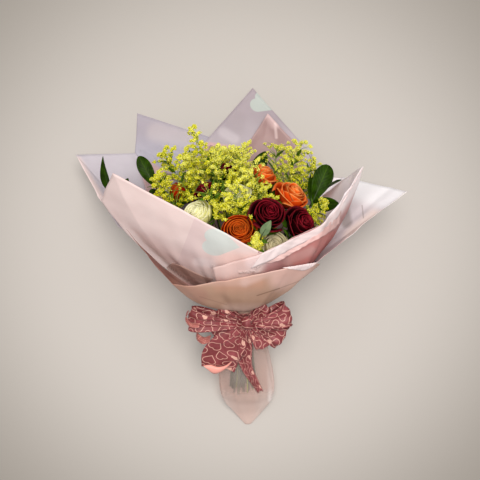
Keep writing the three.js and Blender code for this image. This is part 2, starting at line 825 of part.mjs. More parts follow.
const BAND_SIDES = 16;
const BAND_WIDTH = 16;
const bandInside = (neckRadius + 5 * LAYER + PAPER / 2 + GAP) / Math.cos(Math.PI / BAND_SIDES);
const bandOutline = [
  [0, -0.5 * BAND_WIDTH],
  [0, 0.5 * BAND_WIDTH],
  [1.6, 0.42 * BAND_WIDTH],
  [1.1, 0],
  [1.6, -0.42 * BAND_WIDTH],
  [0, -0.5 * BAND_WIDTH],
].map(([out, z]) => new THREE.Vector2(bandInside + out, z - 2.5));
addPiece("ribbon_band", new THREE.LatheGeometry(bandOutline.reverse(), BAND_SIDES).rotateX(Math.PI / 2), "ribbon");

// The bow's knot and its strips. A loop goes out along `out` to `reach`, near strand in front, and comes back.
// A tail hangs from the knot through its points. `wide` is a strip's width where it is widest.
const KNOT = vec(6, -(bandInside + 10.9), -4);
const LOOPS = [
  { out: [-1, 0, -0.03], reach: 84, depth: 6, wide: 32, front: 6 },
  { out: [-0.9, 0, -0.42], reach: 64, depth: 4, wide: 26, front: -3 },
  { out: [1, 0, 0.1], reach: 66, depth: 6, wide: 32, front: 6 },
  { out: [0.8, 0, -0.5], reach: 62, depth: 4, wide: 30, front: -3 },
];
const TAILS = [
  {
    path: [
      [-1, -43, -3],
      [-14, -42, -30],
      [-30, -38, -62],
      [-38, -36, -88],
    ],
    wide: [10, 34, 46, 44],
  },
  {
    path: [
      [8, -43, -4],
      [8, -40, -42],
      [12, -38, -84],
      [26, -36, -130],
    ],
    wide: [10, 24, 22, 10],
  },
];

// A strip of ribbon: centre(v) is its middle line, side(v) the direction of its width.
function strip(centre, side, wide, along) {
  const at = (u, v) => centre(v).addScaledVector(side(v), wide(v) * (u - 0.5));
  return blade(at, 1, along, RIBBON);
}

function loop({ out, reach, depth, wide, front }) {
  const along = vec(...out).normalize();
  const side = vec(0, 1, 0).cross(along).normalize();
  const centre = (v) => {
    const turn = Math.PI * (0.01 + 0.98 * v);
    return KNOT.clone()
      .addScaledVector(along, 3 + reach * Math.sin(turn) ** 0.8)
      .add(vec(0, -front - depth * Math.sin(2 * turn), 0));
  };
  return strip(centre, () => side, (v) => 9 + (wide - 9) * Math.sin(Math.PI * v) ** 0.8, 7);
}

function tail({ path, wide }) {
  const curve = new THREE.CatmullRomCurve3(path.map((p) => vec(...p)));
  const widths = new THREE.SplineCurve(wide.map((w, k) => new THREE.Vector2(k, w)));
  const side = (v) => curve.getTangent(v).cross(vec(0, 1, 0)).normalize();
  return strip((v) => curve.getPoint(v), side, (v) => widths.getPoint(v).y, 4);
}

const knot = new THREE.IcosahedronGeometry(1, 0).scale(13, 11, 12).translate(KNOT.x, KNOT.y, KNOT.z);
addPiece("ribbon_bow", fuse([knot, ...LOOPS.map(loop), ...TAILS.map(tail)]), "ribbon");

// ---- laid down, with the middle of its footprint at the origin ----
bouquet.rotation.x = -rad(90 - REST_TILT);
bouquet.updateMatrixWorld(true);
const extent = new THREE.Box3().setFromObject(bouquet, true);
const middle = extent.getCenter(vec(0, 0, 0));
bouquet.position.set(-middle.x, -middle.y, -extent.min.z);
const part = new THREE.Group();
part.add(bouquet);

export default part;
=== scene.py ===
# A hand-tied bouquet of roses, goldenrod and leaves in pink floral film with a heart ribbon, laid on its
# back. Everything is in millimetres in the bouquet's own frame: x right, y back, z up the stems from the tie.
import math

import bpy
import numpy as np
from mathutils import Matrix, Vector


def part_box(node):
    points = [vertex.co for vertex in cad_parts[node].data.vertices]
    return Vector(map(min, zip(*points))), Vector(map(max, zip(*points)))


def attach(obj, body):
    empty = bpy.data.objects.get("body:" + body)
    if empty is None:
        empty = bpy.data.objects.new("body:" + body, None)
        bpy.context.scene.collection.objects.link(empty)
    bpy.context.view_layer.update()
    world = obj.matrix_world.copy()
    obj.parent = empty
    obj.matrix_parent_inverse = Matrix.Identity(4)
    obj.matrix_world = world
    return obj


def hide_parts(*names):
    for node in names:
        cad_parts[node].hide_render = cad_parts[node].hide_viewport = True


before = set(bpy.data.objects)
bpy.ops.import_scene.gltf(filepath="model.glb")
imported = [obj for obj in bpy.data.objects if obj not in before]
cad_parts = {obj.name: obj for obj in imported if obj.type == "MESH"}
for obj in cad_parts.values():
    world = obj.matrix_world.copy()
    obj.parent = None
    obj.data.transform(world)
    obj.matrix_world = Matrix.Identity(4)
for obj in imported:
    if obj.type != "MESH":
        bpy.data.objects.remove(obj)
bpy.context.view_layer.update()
print("frame loaded:", len(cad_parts), "nodes")

# How the bouquet lies.
lying = {"restTilt": 22.0, "tieHeight": 86.0}  # degrees, and mm from the surface up to the tie
tilt = math.radians(lying["restTilt"])
tieBox = [np.array(corner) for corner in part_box("twine_tie")]
tiePoint = (tieBox[0] + tieBox[1]) / 2  # the ring of twine is centred on the frame's origin


def turnToRow(p):  # turned about x by the tilt less a right angle, so that the stems lean back
    x, y, z = p[..., 0], p[..., 1], p[..., 2]
    return np.stack([x, y * math.sin(tilt) + z * math.cos(tilt), z * math.sin(tilt) - y * math.cos(tilt)], -1)


def toRow(p):  # and moved to the tie, in metres
    return tiePoint + 0.001 * turnToRow(np.asarray(p, float))


def surfaceY(z):  # y of the surface it lies on, at height z
    return z * math.tan(tilt) + lying["tieHeight"] / math.cos(tilt)


# The camera, from the photograph.
camera = {
    "lookDown": 28.0, "distance": 1600.0, "target": (-4.45, 45.9, 86.4), "across": 711.8, "sensor": 36.0}
down = math.radians(camera["lookDown"])
eyeRight = np.array([1.0, 0.0, 0.0])
eyeUp = np.array([0.0, math.sin(down), math.cos(down)])
eyeBack = np.array([0.0, -math.cos(down), math.sin(down)])
target = np.array(camera["target"])


def onPicture(p):  # where points are seen from the front: mm right and up of the target, in its plane
    rel = np.asarray(p, float) - target
    nearer = 1 - rel @ eyeBack / camera["distance"]
    return np.stack([rel @ eyeRight, rel @ eyeUp], -1) / nearer[..., None]


def fromPicture(seen, y):  # the point that is seen there and lies at depth y
    seen = np.asarray(seen, float)
    eye = target + camera["distance"] * eyeBack
    ray = target + seen[..., :1] * eyeRight + seen[..., 1:] * eyeUp - eye
    return eye + ray * ((np.asarray(y, float) - eye[1]) / ray[..., 1])[..., None]


def makeCamera():
    data = bpy.data.cameras.new("photoCamera")
    data.sensor_width = camera["sensor"]
    data.lens = camera["sensor"] * camera["distance"] / camera["across"]
    data.clip_end = 20
    matrix = np.eye(4)
    matrix[:3, :3] = turnToRow(np.stack([eyeRight, eyeUp, eyeBack])).T
    matrix[:3, 3] = toRow(target + camera["distance"] * eyeBack)
    eye = bpy.data.objects.new("photoCamera", data)
    eye.matrix_world = Matrix(matrix.tolist())
    bpy.context.scene.collection.objects.link(eye)
    bpy.context.scene.camera = eye


makeCamera()
print("camera set")

# Materials.


# sRGB to linear: ((c + 0.055) / 1.055) to the power 2.4, or c / 12.92 where it is dark.
def toLinear(hexColour):
    c = np.array([int(hexColour[k : k + 2], 16) for k in (1, 3, 5)]) / 255
    linear = np.where(c > 0.04045, ((c + 0.055) / 1.055) ** 2.4, c / 12.92)
    return (*map(float, linear), 1.0)


def perMetre(size):  # a noise's scale, from the size of its cells in mm
    return 1000.0 / size


# One node with its inputs, its settings and, on a ramp, its stops. An input is a value, a node, whose first
# output in use is linked, or (node, output).
def addNode(tree, kind, inputs=(), stops=(), **settings):
    node = tree.nodes.new("ShaderNode" + kind)
    for key, value in settings.items():
        setattr(node, key, value)
    for k, (place, colour) in enumerate(stops):
        stop = node.color_ramp.elements[k] if k < 2 else node.color_ramp.elements.new(place)
        stop.position, stop.color = place, toLinear(colour)
    for key, value in inputs.items() if isinstance(inputs, dict) else enumerate(inputs):
        if isinstance(value, bpy.types.Node):
            value = (value, [output.enabled for output in value.outputs].index(True))
        if isinstance(value, tuple) and isinstance(value[0], bpy.types.Node):
            tree.links.new(value[0].outputs[value[1]], node.inputs[key])
        else:
            node.inputs[key].default_value = value
    return node


def newMaterial(name):
    material = bpy.data.materials.new(name)
    material.use_nodes = True
    material.node_tree.nodes.clear()
    return material, material.node_tree


# The distance from a heart's outline, below 0 inside it. The heart has its tip at the origin and its notch at
# (0, 1): two round lobes, about the point given and its mirror, over a corner with straight sides.
heartShape = {"lobe": (0.25, 0.75, 0.0), "lobeRadius": 0.3536, "halfWidth": 0.6036, "middle": 0.58}


def heartDistance(tree, x, y):
    side = addNode(tree, "Math", [x], operation="ABSOLUTE")
    point = addNode(tree, "CombineXYZ", [side, y])
    total = addNode(tree, "Math", [side, y], operation="ADD")
    lobe = addNode(tree, "VectorMath", [point, heartShape["lobe"]], operation="DISTANCE")
    outside = addNode(tree, "Math", [lobe, heartShape["lobeRadius"]], operation="SUBTRACT")
    notch = addNode(tree, "VectorMath", [point, (0.0, 1.0, 0.0)], operation="DISTANCE")
    above = addNode(tree, "Math", [total, 0.0], operation="MAXIMUM")
    half = addNode(tree, "Math", [above, 0.5], operation="MULTIPLY")
    corner = addNode(tree, "CombineXYZ", [half, half])
    edge = addNode(tree, "VectorMath", [point, corner], operation="DISTANCE")
    near = addNode(tree, "Math", [notch, edge], operation="MINIMUM")
    apart = addNode(tree, "Math", [side, y], operation="SUBTRACT")
    sign = addNode(tree, "Math", [apart], operation="SIGN")
    lower = addNode(tree, "Math", [near, sign], operation="MULTIPLY")
    inLobe = addNode(tree, "Math", [total, 1.0], operation="GREATER_THAN")
    return addNode(tree, "Mix", {0: inLobe, 2: lower, 3: outside}, data_type="FLOAT")


# How far the place seen from the front is from the line between p and q, in mm.
def lineDistance(tree, seen, p, q):
    p, q = np.array([*p, 0.0]), np.array([*q, 0.0])
    way = q - p
    rel = addNode(tree, "VectorMath", [seen, tuple(p)], operation="SUBTRACT")
    run = addNode(tree, "VectorMath", [rel, tuple(way / (way @ way))], operation="DOT_PRODUCT")
    share = addNode(tree, "Math", [run, 0.0], operation="ADD", use_clamp=True)
    near = addNode(tree, "VectorMath", {0: tuple(way), "Scale": share}, operation="SCALE")
    return addNode(tree, "VectorMath", [rel, near], operation="DISTANCE")


# Rose petals: soft, faintly velvety plant tissue. Its colour runs from the petal's foot to its lip, with fine
# veins up it. This is partly the petal's own colour, partly painted shade that darkens the foot deep in the
# bloom, and partly a painted highlight that brightens the last stops at the lip. Light comes through, so that
# the gaps between petals glow with their own colour.
petalFinishes = {
    # stops from foot to lip (painted shade at the foot, painted highlight at the lip), darkest and lightest
    # petal, light that comes through, gloss
    "red": ([(0.0, "#0a0001"), (0.5, "#1d0103"), (0.84, "#370208"), (0.95, "#580512"), (1.0, "#8e1224")],
            ("#a8a8a8", "#ffffff"), 0.12, 0.12),
    "orange": ([(0.0, "#640800"), (0.45, "#9e1400"), (0.8, "#be2400"), (0.94, "#d23a02"), (1.0, "#ec721e")],
               ("#c8c8c8", "#ffffff"), 0.3, 0.15),
    "coral": ([(0.0, "#a02804"), (0.45, "#d43a08"), (0.82, "#ee5412"), (0.95, "#fa7a2c"), (1.0, "#fea65c")],
              ("#d0d0d0", "#ffffff"), 0.28, 0.18),
    "cream": ([(0.0, "#6e5c28"), (0.45, "#b4a064"), (0.84, "#dccd98"), (1.0, "#f2e9c8")],
              ("#dcdcd0", "#ffffff"), 0.36, 0.2),
    "white": ([(0.0, "#dde280"), (0.4, "#f6f49a"), (0.84, "#fefbb6"), (1.0, "#fffee0")],
              ("#f0f0e8", "#ffffff"), 0.36, 0.2),
}
petalVeins = {"across": 26.0, "along": 1.6, "bend": 0.16, "bump": 0.3}  # cells over a petal; strengths


def petalMaterial(name, stops, tones, through, gloss):
    material, tree = newMaterial(name + "RosePetal")
    along = addNode(tree, "Attribute", attribute_name="along")
    tone = addNode(tree, "Attribute", attribute_name="tone")
    uv = addNode(tree, "UVMap", uv_map="petal")
    cells = (petalVeins["across"], petalVeins["along"], 1.0)
    stretched = addNode(tree, "Mapping", {"Vector": uv, "Scale": cells})
    veins = addNode(tree, "TexNoise", {"Vector": stretched, "Scale": 1.0, "Detail": 3.0})
    raised = addNode(tree, "Math", [veins, petalVeins["bend"], (along, "Fac")], operation="MULTIPLY_ADD")
    shifted = addNode(tree, "Math", [raised, petalVeins["bend"] / 2], operation="SUBTRACT", use_clamp=True)
    colour = addNode(tree, "ValToRGB", [shifted], stops=stops)
    light = addNode(tree, "ValToRGB", [(tone, "Fac")], stops=[(0.0, tones[0]), (1.0, tones[1])])
    shade = addNode(tree, "Mix", {0: 1.0, 6: colour, 7: light}, data_type="RGBA", blend_type="MULTIPLY")
    bump = addNode(tree, "Bump", {"Height": veins, "Strength": petalVeins["bump"], "Distance": 0.0004})
    body = addNode(tree, "BsdfPrincipled", {
        "Base Color": shade, "Roughness": 0.52, "IOR": 1.42, "Normal": bump, "Specular IOR Level": gloss})
    thin = addNode(tree, "BsdfTranslucent", {"Color": shade, "Normal": bump})
    addNode(tree, "OutputMaterial", [addNode(tree, "MixShader", [through, body, thin])])
    return material


petals = {name: petalMaterial(name, *finish) for name, finish in petalFinishes.items()}

# Leaf: a waxed blade, with a light rib and ten or so veins a side, which slant forward from it.
leafFinishes = {
    # darkest and lightest ground, rib, roughness
    "waxyLeaf": ("#101e00", "#264101", "#4c6a12", 0.34),
    "greyGreenLeaf": ("#5b7050", "#7d9068", "#9cad84", 0.5),
    "goldenrodLeaf": ("#33520e", "#53781a", "#779a30", 0.5),
}
leafVeins = {
    "turns": 62.0, "slant": 0.55, "sharpness": 6.0, "shown": 0.14, "ribNarrow": 28.0, "ribShown": 0.5}
leafMottle = 8.333  # mm
leafThrough = {"colour": "#6f9a1e", "share": 0.08}  # the light that comes through


def leafMaterial(name, deep, light, rib, roughness):
    material, tree = newMaterial(name)
    uv = addNode(tree, "SeparateXYZ", [addNode(tree, "UVMap", uv_map="blade")])
    centred = addNode(tree, "Math", [uv, 0.5], operation="SUBTRACT")
    across = addNode(tree, "Math", [centred], operation="ABSOLUTE")
    slanted = addNode(tree, "Math", [across, -leafVeins["slant"], (uv, 1)], operation="MULTIPLY_ADD")
    turns = addNode(tree, "Math", [slanted, leafVeins["turns"]], operation="MULTIPLY")
    wave = addNode(tree, "Math", [turns], operation="SINE")
    raised = addNode(tree, "Math", [wave, 0.5, 0.5], operation="MULTIPLY_ADD")
    vein = addNode(tree, "Math", [raised, leafVeins["sharpness"]], operation="POWER")
    middle = addNode(tree, "Math", [across, -leafVeins["ribNarrow"], 1.0],
                     operation="MULTIPLY_ADD", use_clamp=True)
    place = addNode(tree, "TexCoord")
    cells = perMetre(leafMottle)
    mottle = addNode(tree, "TexNoise", {"Vector": (place, "Object"), "Scale": cells, "Detail": 2.0})
    ground = addNode(tree, "ValToRGB", [mottle], stops=[(0.3, deep), (0.75, light)])
    faint = addNode(tree, "Math", [vein, leafVeins["shown"]], operation="MULTIPLY")
    veined = addNode(tree, "Mix", {0: faint, 6: ground, 7: toLinear(rib)}, data_type="RGBA")
    strong = addNode(tree, "Math", [middle, leafVeins["ribShown"]], operation="MULTIPLY")
    ribbed = addNode(tree, "Mix", {0: strong, 6: veined, 7: toLinear(rib)}, data_type="RGBA")
    height = addNode(tree, "Math", [middle, 2.0, vein], operation="MULTIPLY_ADD")
    bump = addNode(tree, "Bump", {"Height": height, "Strength": 0.25, "Distance": 0.0004}, invert=True)
    body = addNode(tree, "BsdfPrincipled", {
        "Base Color": ribbed, "Roughness": roughness, "IOR": 1.45, "Specular IOR Level": 0.06,
        "Normal": bump})
    thin = addNode(tree, "BsdfTranslucent", {"Color": toLinear(leafThrough["colour"])})
    addNode(tree, "OutputMaterial", [addNode(tree, "MixShader", [leafThrough["share"], body, thin])])
    return material


leafDark, leafPale, leafSmall = (leafMaterial(name, *finish) for name, finish in leafFinishes.items())

# Stems and twigs: smooth green skin, streaked along. Jute twine and the pith of a cut stem are
# streaked the same way.
stemFinishes = {
    # the dark and the light streaks
    "roseStem": ("#1c2a10", "#33441d"), "goldenrodTwig": ("#5c7a1c", "#84962c"),
    "cutPith": ("#b9bd83", "#d5d6a6"), "juteTwine": ("#8a6f42", "#c2a878"),
}
streak = {"wide": 2.381, "long": 16.667}  # mm, wider than the real fibres, which are too fine to show


def stemMaterial(name, deep, light):
    material, tree = newMaterial(name)
    place = addNode(tree, "TexCoord")
    scale = (perMetre(streak["wide"]), perMetre(streak["long"]), perMetre(streak["wide"]))
    streaks = addNode(tree, "Mapping", {"Vector": (place, "Object"), "Scale": scale})
    noise = addNode(tree, "TexNoise", {"Vector": streaks, "Scale": 1.0, "Detail": 3.0})
    colour = addNode(tree, "ValToRGB", [noise], stops=[(0.3, deep), (0.7, light)])
    bump = addNode(tree, "Bump", {"Height": noise, "Strength": 0.3, "Distance": 0.0003})
    body = addNode(tree, "BsdfPrincipled", {
        "Base Color": colour, "Roughness": 0.5, "IOR": 1.45, "Normal": bump})
    addNode(tree, "OutputMaterial", [body])
    return material


stemGreen, twigGreen, pithPale, twineJute = (stemMaterial(name, *two) for name, two in stemFinishes.items())

# Goldenrod florets: tiny matt yellow flowers, greener towards the twig and in the depth of the spray.
floretFinish = {
    "stops": [(0.0, "#5c7614"), (0.14, "#9aa61a"), (0.32, "#dcda1e"), (0.6, "#faf22a"), (1.0, "#fffd82")],
    "foot": "#7c9420", "through": 0.3,
}


def floretMaterial():
    material, tree = newMaterial("goldenrodFloret")
    tone = addNode(tree, "Attribute", attribute_name="tone")
    along = addNode(tree, "Attribute", attribute_name="along")
    bright = addNode(tree, "ValToRGB", [(tone, "Fac")], stops=floretFinish["stops"])
    foot = toLinear(floretFinish["foot"])
    colour = addNode(tree, "Mix", {0: (along, "Fac"), 6: foot, 7: bright}, data_type="RGBA")
    body = addNode(tree, "BsdfPrincipled", {
        "Base Color": colour, "Roughness": 0.7, "IOR": 1.4, "Specular IOR Level": 0.2})
    thin = addNode(tree, "BsdfTranslucent", {"Color": colour})
    addNode(tree, "OutputMaterial", [addNode(tree, "MixShader", [floretFinish["through"], body, thin])])
    return material


floretYellow = floretMaterial()

# Non-woven floral film: a matt, half see-through sheet of pressed fibres, which light passes through softly.
# The fibres are drawn over 1 mm wide, because real ones are too fine to show.
filmGrain = {"fibre": 1.111, "cloud": 71.43, "wave": 26.316, "crush": 4.762}  # mm


# Where another sheet lies under this one: the tint starts along the line from p to q and fades
# to the line's left.
def paintFolds(tree, seen, paint, folds):
    for p, q, reach, tint, strength in folds:
        p, q = np.array([*p, 0.0]), np.array([*q, 0.0])
        way = (q - p) / np.linalg.norm(q - p)
        rel = addNode(tree, "VectorMath", [seen, tuple(p)], operation="SUBTRACT")
        over = addNode(tree, "VectorMath", [rel, (-way[1], way[0], 0.0)], operation="DOT_PRODUCT")
        start = addNode(tree, "MapRange", [over, 0.0, 0.8, 0.0, strength], interpolation_type="SMOOTHSTEP")
        fade = addNode(tree, "MapRange", [over, 4.0, reach, 1.0, 0.0], interpolation_type="SMOOTHSTEP")
        both = addNode(tree, "Math", [start, fade], operation="MULTIPLY")
        paint = addNode(tree, "Mix", {0: both, 6: paint, 7: toLinear(tint)}, data_type="RGBA")
    return paint


# Painted shade and painted light, and the tint where layers lie over one another: each is strongest within
# its width of the line and fades past it.
def paintTints(tree, seen, paint, tints):
    for p, q, wide, edge, tint, strength in tints:
        away = lineDistance(tree, seen, p, q)
        near = addNode(tree, "MapRange", [away, wide, wide + edge, strength, 0.0],
                       interpolation_type="SMOOTHSTEP")
        paint = addNode(tree, "Mix", {0: near, 6: paint, 7: toLinear(tint)}, data_type="RGBA")
    return paint


def paintHearts(tree, seen, paint, hearts, mark):
    for tip, notch, half in hearts:
        way = np.array(notch) - np.array(tip)
        tall = np.linalg.norm(way)
        up, over = way / tall**2, way[::-1] * [1, -1] / tall * heartShape["halfWidth"] / half
        rel = addNode(tree, "VectorMath", [seen, (*tip, 0.0)], operation="SUBTRACT")
        y = addNode(tree, "VectorMath", [rel, (*up, 0.0)], operation="DOT_PRODUCT")
        x = addNode(tree, "VectorMath", [rel, (*over, 0.0)], operation="DOT_PRODUCT")
        inside = addNode(tree, "MapRange", [heartDistance(tree, x, y), -0.01, 0.01, 0.95, 0.0])
        paint = addNode(tree, "Mix", {0: inside, 6: paint, 7: toLinear(mark)}, data_type="RGBA")
    return paint


# Crushed film: near a line, a noise raises the surface and paints shade in its creases and highlights on its
# ridges.
def crumple(tree, seen, place, paint, height, crumples):
    scale = perMetre(filmGrain["crush"])
    crush = addNode(tree, "TexNoise", {
        "Vector": (place, "Object"), "Scale": scale, "Detail": 3.0, "Distortion": 1.2})
    # the noise between which each comes or goes, its strength there, its tint: first the painted shade in the
    # creases, then the painted highlight on the ridges
    marks = ((0.52, 0.6, 0.0, 0.5, "#b59a90"), (0.36, 0.44, 0.7, 0.0, "#fff4f2"))
    for p, q, wide in crumples:
        away = lineDistance(tree, seen, p, q)
        mask = addNode(tree, "MapRange", [away, 0.0, wide, 1.0, 0.0], interpolation_type="SMOOTHSTEP")
        for low, high, start, end, tint in marks:
            shown = addNode(tree, "MapRange", [crush, low, high, start, end], interpolation_type="SMOOTHSTEP")
            both = addNode(tree, "Math", [mask, shown], operation="MULTIPLY")
            paint = addNode(tree, "Mix", {0: both, 6: paint, 7: toLinear(tint)}, data_type="RGBA")
        crushed = addNode(tree, "Math", [mask, crush], operation="MULTIPLY")
        height = addNode(tree, "Math", [crushed, 1.0, height], operation="MULTIPLY_ADD")
    return paint, height


# The film's marks are placed in mm as seen from the front. hearts: tip, notch, half width. tints, which are
# painted shade and painted light as well as where layers lie over one another: two ends of a line, how wide
# it is, how softly it ends, colour, strength.
# folds: a line, how far the tint reaches, colour, strength. crumples: a line and how wide it is crushed.
# clear: the share of the light that passes straight through one layer, below a height and above another.
def filmMaterial(name, colour, shade, hearts=(), tints=(), folds=(), crumples=(), clear=(0.0, 0.0, 0.0, 1.0),
                 soft=0.25, mark="#d9dedb"):
    material, tree = newMaterial(name)
    place = addNode(tree, "TexCoord")
    seen = addNode(tree, "UVMap", uv_map="front")
    fibres, clouds, waves = (
        addNode(tree, "TexNoise", {"Vector": (place, "Object"), "Scale": perMetre(size), "Detail": detail})
        for size, detail in ((filmGrain["fibre"], 2.0), (filmGrain["cloud"], 3.0), (filmGrain["wave"], 1.0)))
    paint = addNode(tree, "ValToRGB", [clouds], stops=[(0.35, shade), (0.65, colour)])
    paint = addNode(tree, "Mix", {0: 0.05, 6: paint, 7: (fibres, 1)}, data_type="RGBA", blend_type="OVERLAY")
    paint = paintFolds(tree, seen, paint, folds)
    paint = paintTints(tree, seen, paint, tints)
    paint = paintHearts(tree, seen, paint, hearts, mark)
    height = addNode(tree, "Math", [waves, 0.35, clouds], operation="MULTIPLY_ADD")
    height = addNode(tree, "Math", [fibres, 0.05, height], operation="MULTIPLY_ADD")
    if crumples:
        paint, height = crumple(tree, seen, place, paint, height, crumples)
    bump = addNode(tree, "Bump", {"Height": height, "Strength": 0.5, "Distance": 0.003})
    body = addNode(tree, "BsdfPrincipled", {
        "Base Color": paint, "Roughness": 0.5, "IOR": 1.47, "Normal": bump, "Specular IOR Level": 0.4})
    thin = addNode(tree, "BsdfTranslucent", {"Color": paint, "Normal": bump})
    sheet = addNode(tree, "MixShader", [soft, body, thin])
    if max(clear[:2]) > 0:  # each layer has two faces, so each face lets the root of the share through
        up = addNode(tree, "SeparateXYZ", [seen])
        low, high = math.sqrt(clear[0]), math.sqrt(clear[1])
        share = addNode(tree, "MapRange", [(up, 1), *clear[2:], low, high], interpolation_type="SMOOTHSTEP")
        bare = addNode(tree, "BsdfTransparent", {"Color": toLinear("#fef7f5")})
        sheet = addNode(tree, "MixShader", [share, sheet, bare])
    addNode(tree, "OutputMaterial", [sheet])
    return material


# Satin ribbon: woven polyester with a soft shine, and hearts printed in light pink, in mm along and across
# it: outlines 13 to 16 mm wide on two lattices and small filled ones between them. Its weft is drawn as
# threads 0.9 mm apart, because the real ones are too fine to show.
satinFinish = {
    "ground": "#914449", "deep": "#722d30", "mark": "#e4b3a2", "under": "#ec9f92",
    "cloud": 16.667, "weft": 0.9,
    "hearts": [
        # pitch across and along, moved by, half width, turned by, the line's width (0 fills the heart)
        ((23.0, 24.0), (0.0, 0.0), 7.6, 16.0, 0.065),
        ((23.0, 24.0), (12.0, 11.5), 6.4, -38.0, 0.07),
        ((46.0, 31.0), (9.0, 23.0), 4.4, 28.0, 0.0),
    ],
}


def satinMaterial(name, ground, deep, mark, under, cloud, weft, hearts):
    material, tree = newMaterial(name)
    uv = addNode(tree, "SeparateXYZ", [addNode(tree, "UVMap", uv_map="ribbon")])
    place = addNode(tree, "TexCoord")
    clouds = addNode(tree, "TexNoise", {"Vector": (place, "Object"), "Scale": perMetre(cloud), "Detail": 2.0})
    paint = addNode(tree, "ValToRGB", [clouds], stops=[(0.35, deep), (0.7, ground)])
    for pitches, moves, half, turn, line in hearts:
        cells = []
        for axis, (pitch, move) in enumerate(zip(pitches, moves)):
            # moved by whole pitches too, so that it is above 0
            moved = addNode(tree, "Math", [(uv, axis), move + 20 * pitch], operation="ADD")
            cell = addNode(tree, "Math", [moved, pitch], operation="MODULO")
            cells.append(addNode(tree, "Math", [cell, pitch / 2], operation="SUBTRACT"))
        size = heartShape["halfWidth"] / half
        c, s = math.cos(math.radians(turn)) * size, math.sin(math.radians(turn)) * size
        part = addNode(tree, "Math", [cells[1], s], operation="MULTIPLY")
        x = addNode(tree, "Math", [cells[0], c, part], operation="MULTIPLY_ADD")
        part = addNode(tree, "Math", [cells[0], -s, heartShape["middle"]], operation="MULTIPLY_ADD")
        y = addNode(tree, "Math", [cells[1], c, part], operation="MULTIPLY_ADD")
        away = heartDistance(tree, x, y)
        if line:
            away = addNode(tree, "Math", [away], operation="ABSOLUTE")
            away = addNode(tree, "Math", [away, line / 2], operation="SUBTRACT")
        shown = addNode(tree, "MapRange", [away, -0.02, 0.02, 0.8, 0.0], interpolation_type="SMOOTHSTEP")
        paint = addNode(tree, "Mix", {0: shown, 6: paint, 7: toLinear(mark)}, data_type="RGBA")
    turned = addNode(tree, "Attribute", attribute_name="under")
    paint = addNode(tree, "Mix", {0: (turned, "Fac"), 6: paint, 7: toLinear(under)}, data_type="RGBA")
    turns = addNode(tree, "Math", [(uv, 1), 2 * math.pi / weft], operation="MULTIPLY")
    threads = addNode(tree, "Math", [turns], operation="SINE")
    height = addNode(tree, "Math", [threads, 0.1, clouds], operation="MULTIPLY_ADD")
    bump = addNode(tree, "Bump", {"Height": height, "Strength": 0.3, "Distance": 0.002})
    body = addNode(tree, "BsdfPrincipled", {
        "Base Color": paint, "Roughness": 0.4, "IOR": 1.5, "Sheen Weight": 0.15, "Sheen Roughness": 0.3,
        "Specular IOR Level": 0.4, "Normal": bump})
    thin = addNode(tree, "BsdfTranslucent", {"Color": paint})
    addNode(tree, "OutputMaterial", [addNode(tree, "MixShader", [0.15, body, thin])])
    return material


satin = satinMaterial("satinRibbon", **satinFinish)

# Meshes from arrays.


def gridQuads(rows, columns):
    i, j = np.meshgrid(np.arange(rows - 1), np.arange(columns - 1), indexing="ij")
    a = (i * columns + j).ravel()
    return np.stack([a, a + columns, a + columns + 1, a + 1], -1)


def ringQuads(rings, sides):  # the wall between rings one above the other, each closed on itself
    i, j = np.meshgrid(np.arange(rings - 1), np.arange(sides), indexing="ij")
    a, b = (i * sides + j).ravel(), (i * sides + (j + 1) % sides).ravel()
    return np.stack([a, b, b + sides, a + sides], -1)


def rimOf(rows, columns):  # the grid's edge as one loop of indices
    k = np.arange(rows * columns).reshape(rows, columns)
    return np.concatenate([k[:-1, 0], k[-1, :-1], k[:0:-1, -1], k[0, :0:-1]])


# Closed thin blades over grids (n, rows, columns, 3): each grid moved by half the thickness
# along its normal to either side, and joined at the rim. Returns points, quads, and for each
# point its side, 1 above and 0 below.
def thinBlades(grids, thickness):
    grids = grids if grids.ndim == 4 else grids[None]
    n, rows, columns, _ = grids.shape
    normal = np.cross(np.gradient(grids, axis=1), np.gradient(grids, axis=2))
    normal /= np.linalg.norm(normal, axis=-1, keepdims=True) + 1e-12
    both = np.stack([grids + 0.5 * thickness * normal, grids - 0.5 * thickness * normal], 1)
    count = rows * columns
    quads, rim = gridQuads(rows, columns), rimOf(rows, columns)
    nextRim = np.roll(rim, -1)
    one = np.concatenate([quads, quads[:, ::-1] + count,
                          np.stack([rim + count, nextRim + count, nextRim, rim], -1)])
    faces = (one[None] + (np.arange(n) * 2 * count)[:, None, None]).reshape(-1, 4)
    side = np.tile(np.repeat([1.0, 0.0], count), n)
    return both.reshape(-1, 3), faces, side


def perBlade(values, rows, columns):  # a value on each blade's grid, for both of its sides
    values = np.broadcast_to(values, (values.shape[0], rows, columns))
    return np.repeat(values[:, None], 2, axis=1).reshape(-1)


# Tubes along paths (n, steps, 3) with radii (n, steps): a circle square to each
# path, its ends closed by a fan.
def tubes(paths, radii, sides):
    paths = paths if paths.ndim == 3 else paths[None]
    n, steps, _ = paths.shape
    radii = np.broadcast_to(radii, (n, steps))
    along = unit(np.gradient(paths, axis=1))
    reference = np.array([0.93, 0.31, 0.2])
    across = unit(reference - (along @ reference)[..., None] * along)
    other = np.cross(along, across)
    turn = np.arange(sides) * 2 * math.pi / sides
    ring = across[:, :, None] * np.cos(turn)[:, None] + other[:, :, None] * np.sin(turn)[:, None]
    points = paths[:, :, None] + radii[:, :, None, None] * ring
    fan = np.stack([np.zeros(sides - 2, int), np.arange(2, sides), np.arange(1, sides - 1)], -1)
    caps = np.concatenate([fan, fan[:, [0, 2, 1]] + (steps - 1) * sides])
    start = (np.arange(n) * steps * sides)[:, None, None]
    wall = ringQuads(steps, sides)[None] + start
    return points.reshape(-1, 3), wall.reshape(-1, 4), (caps[None] + start).reshape(-1, 3)


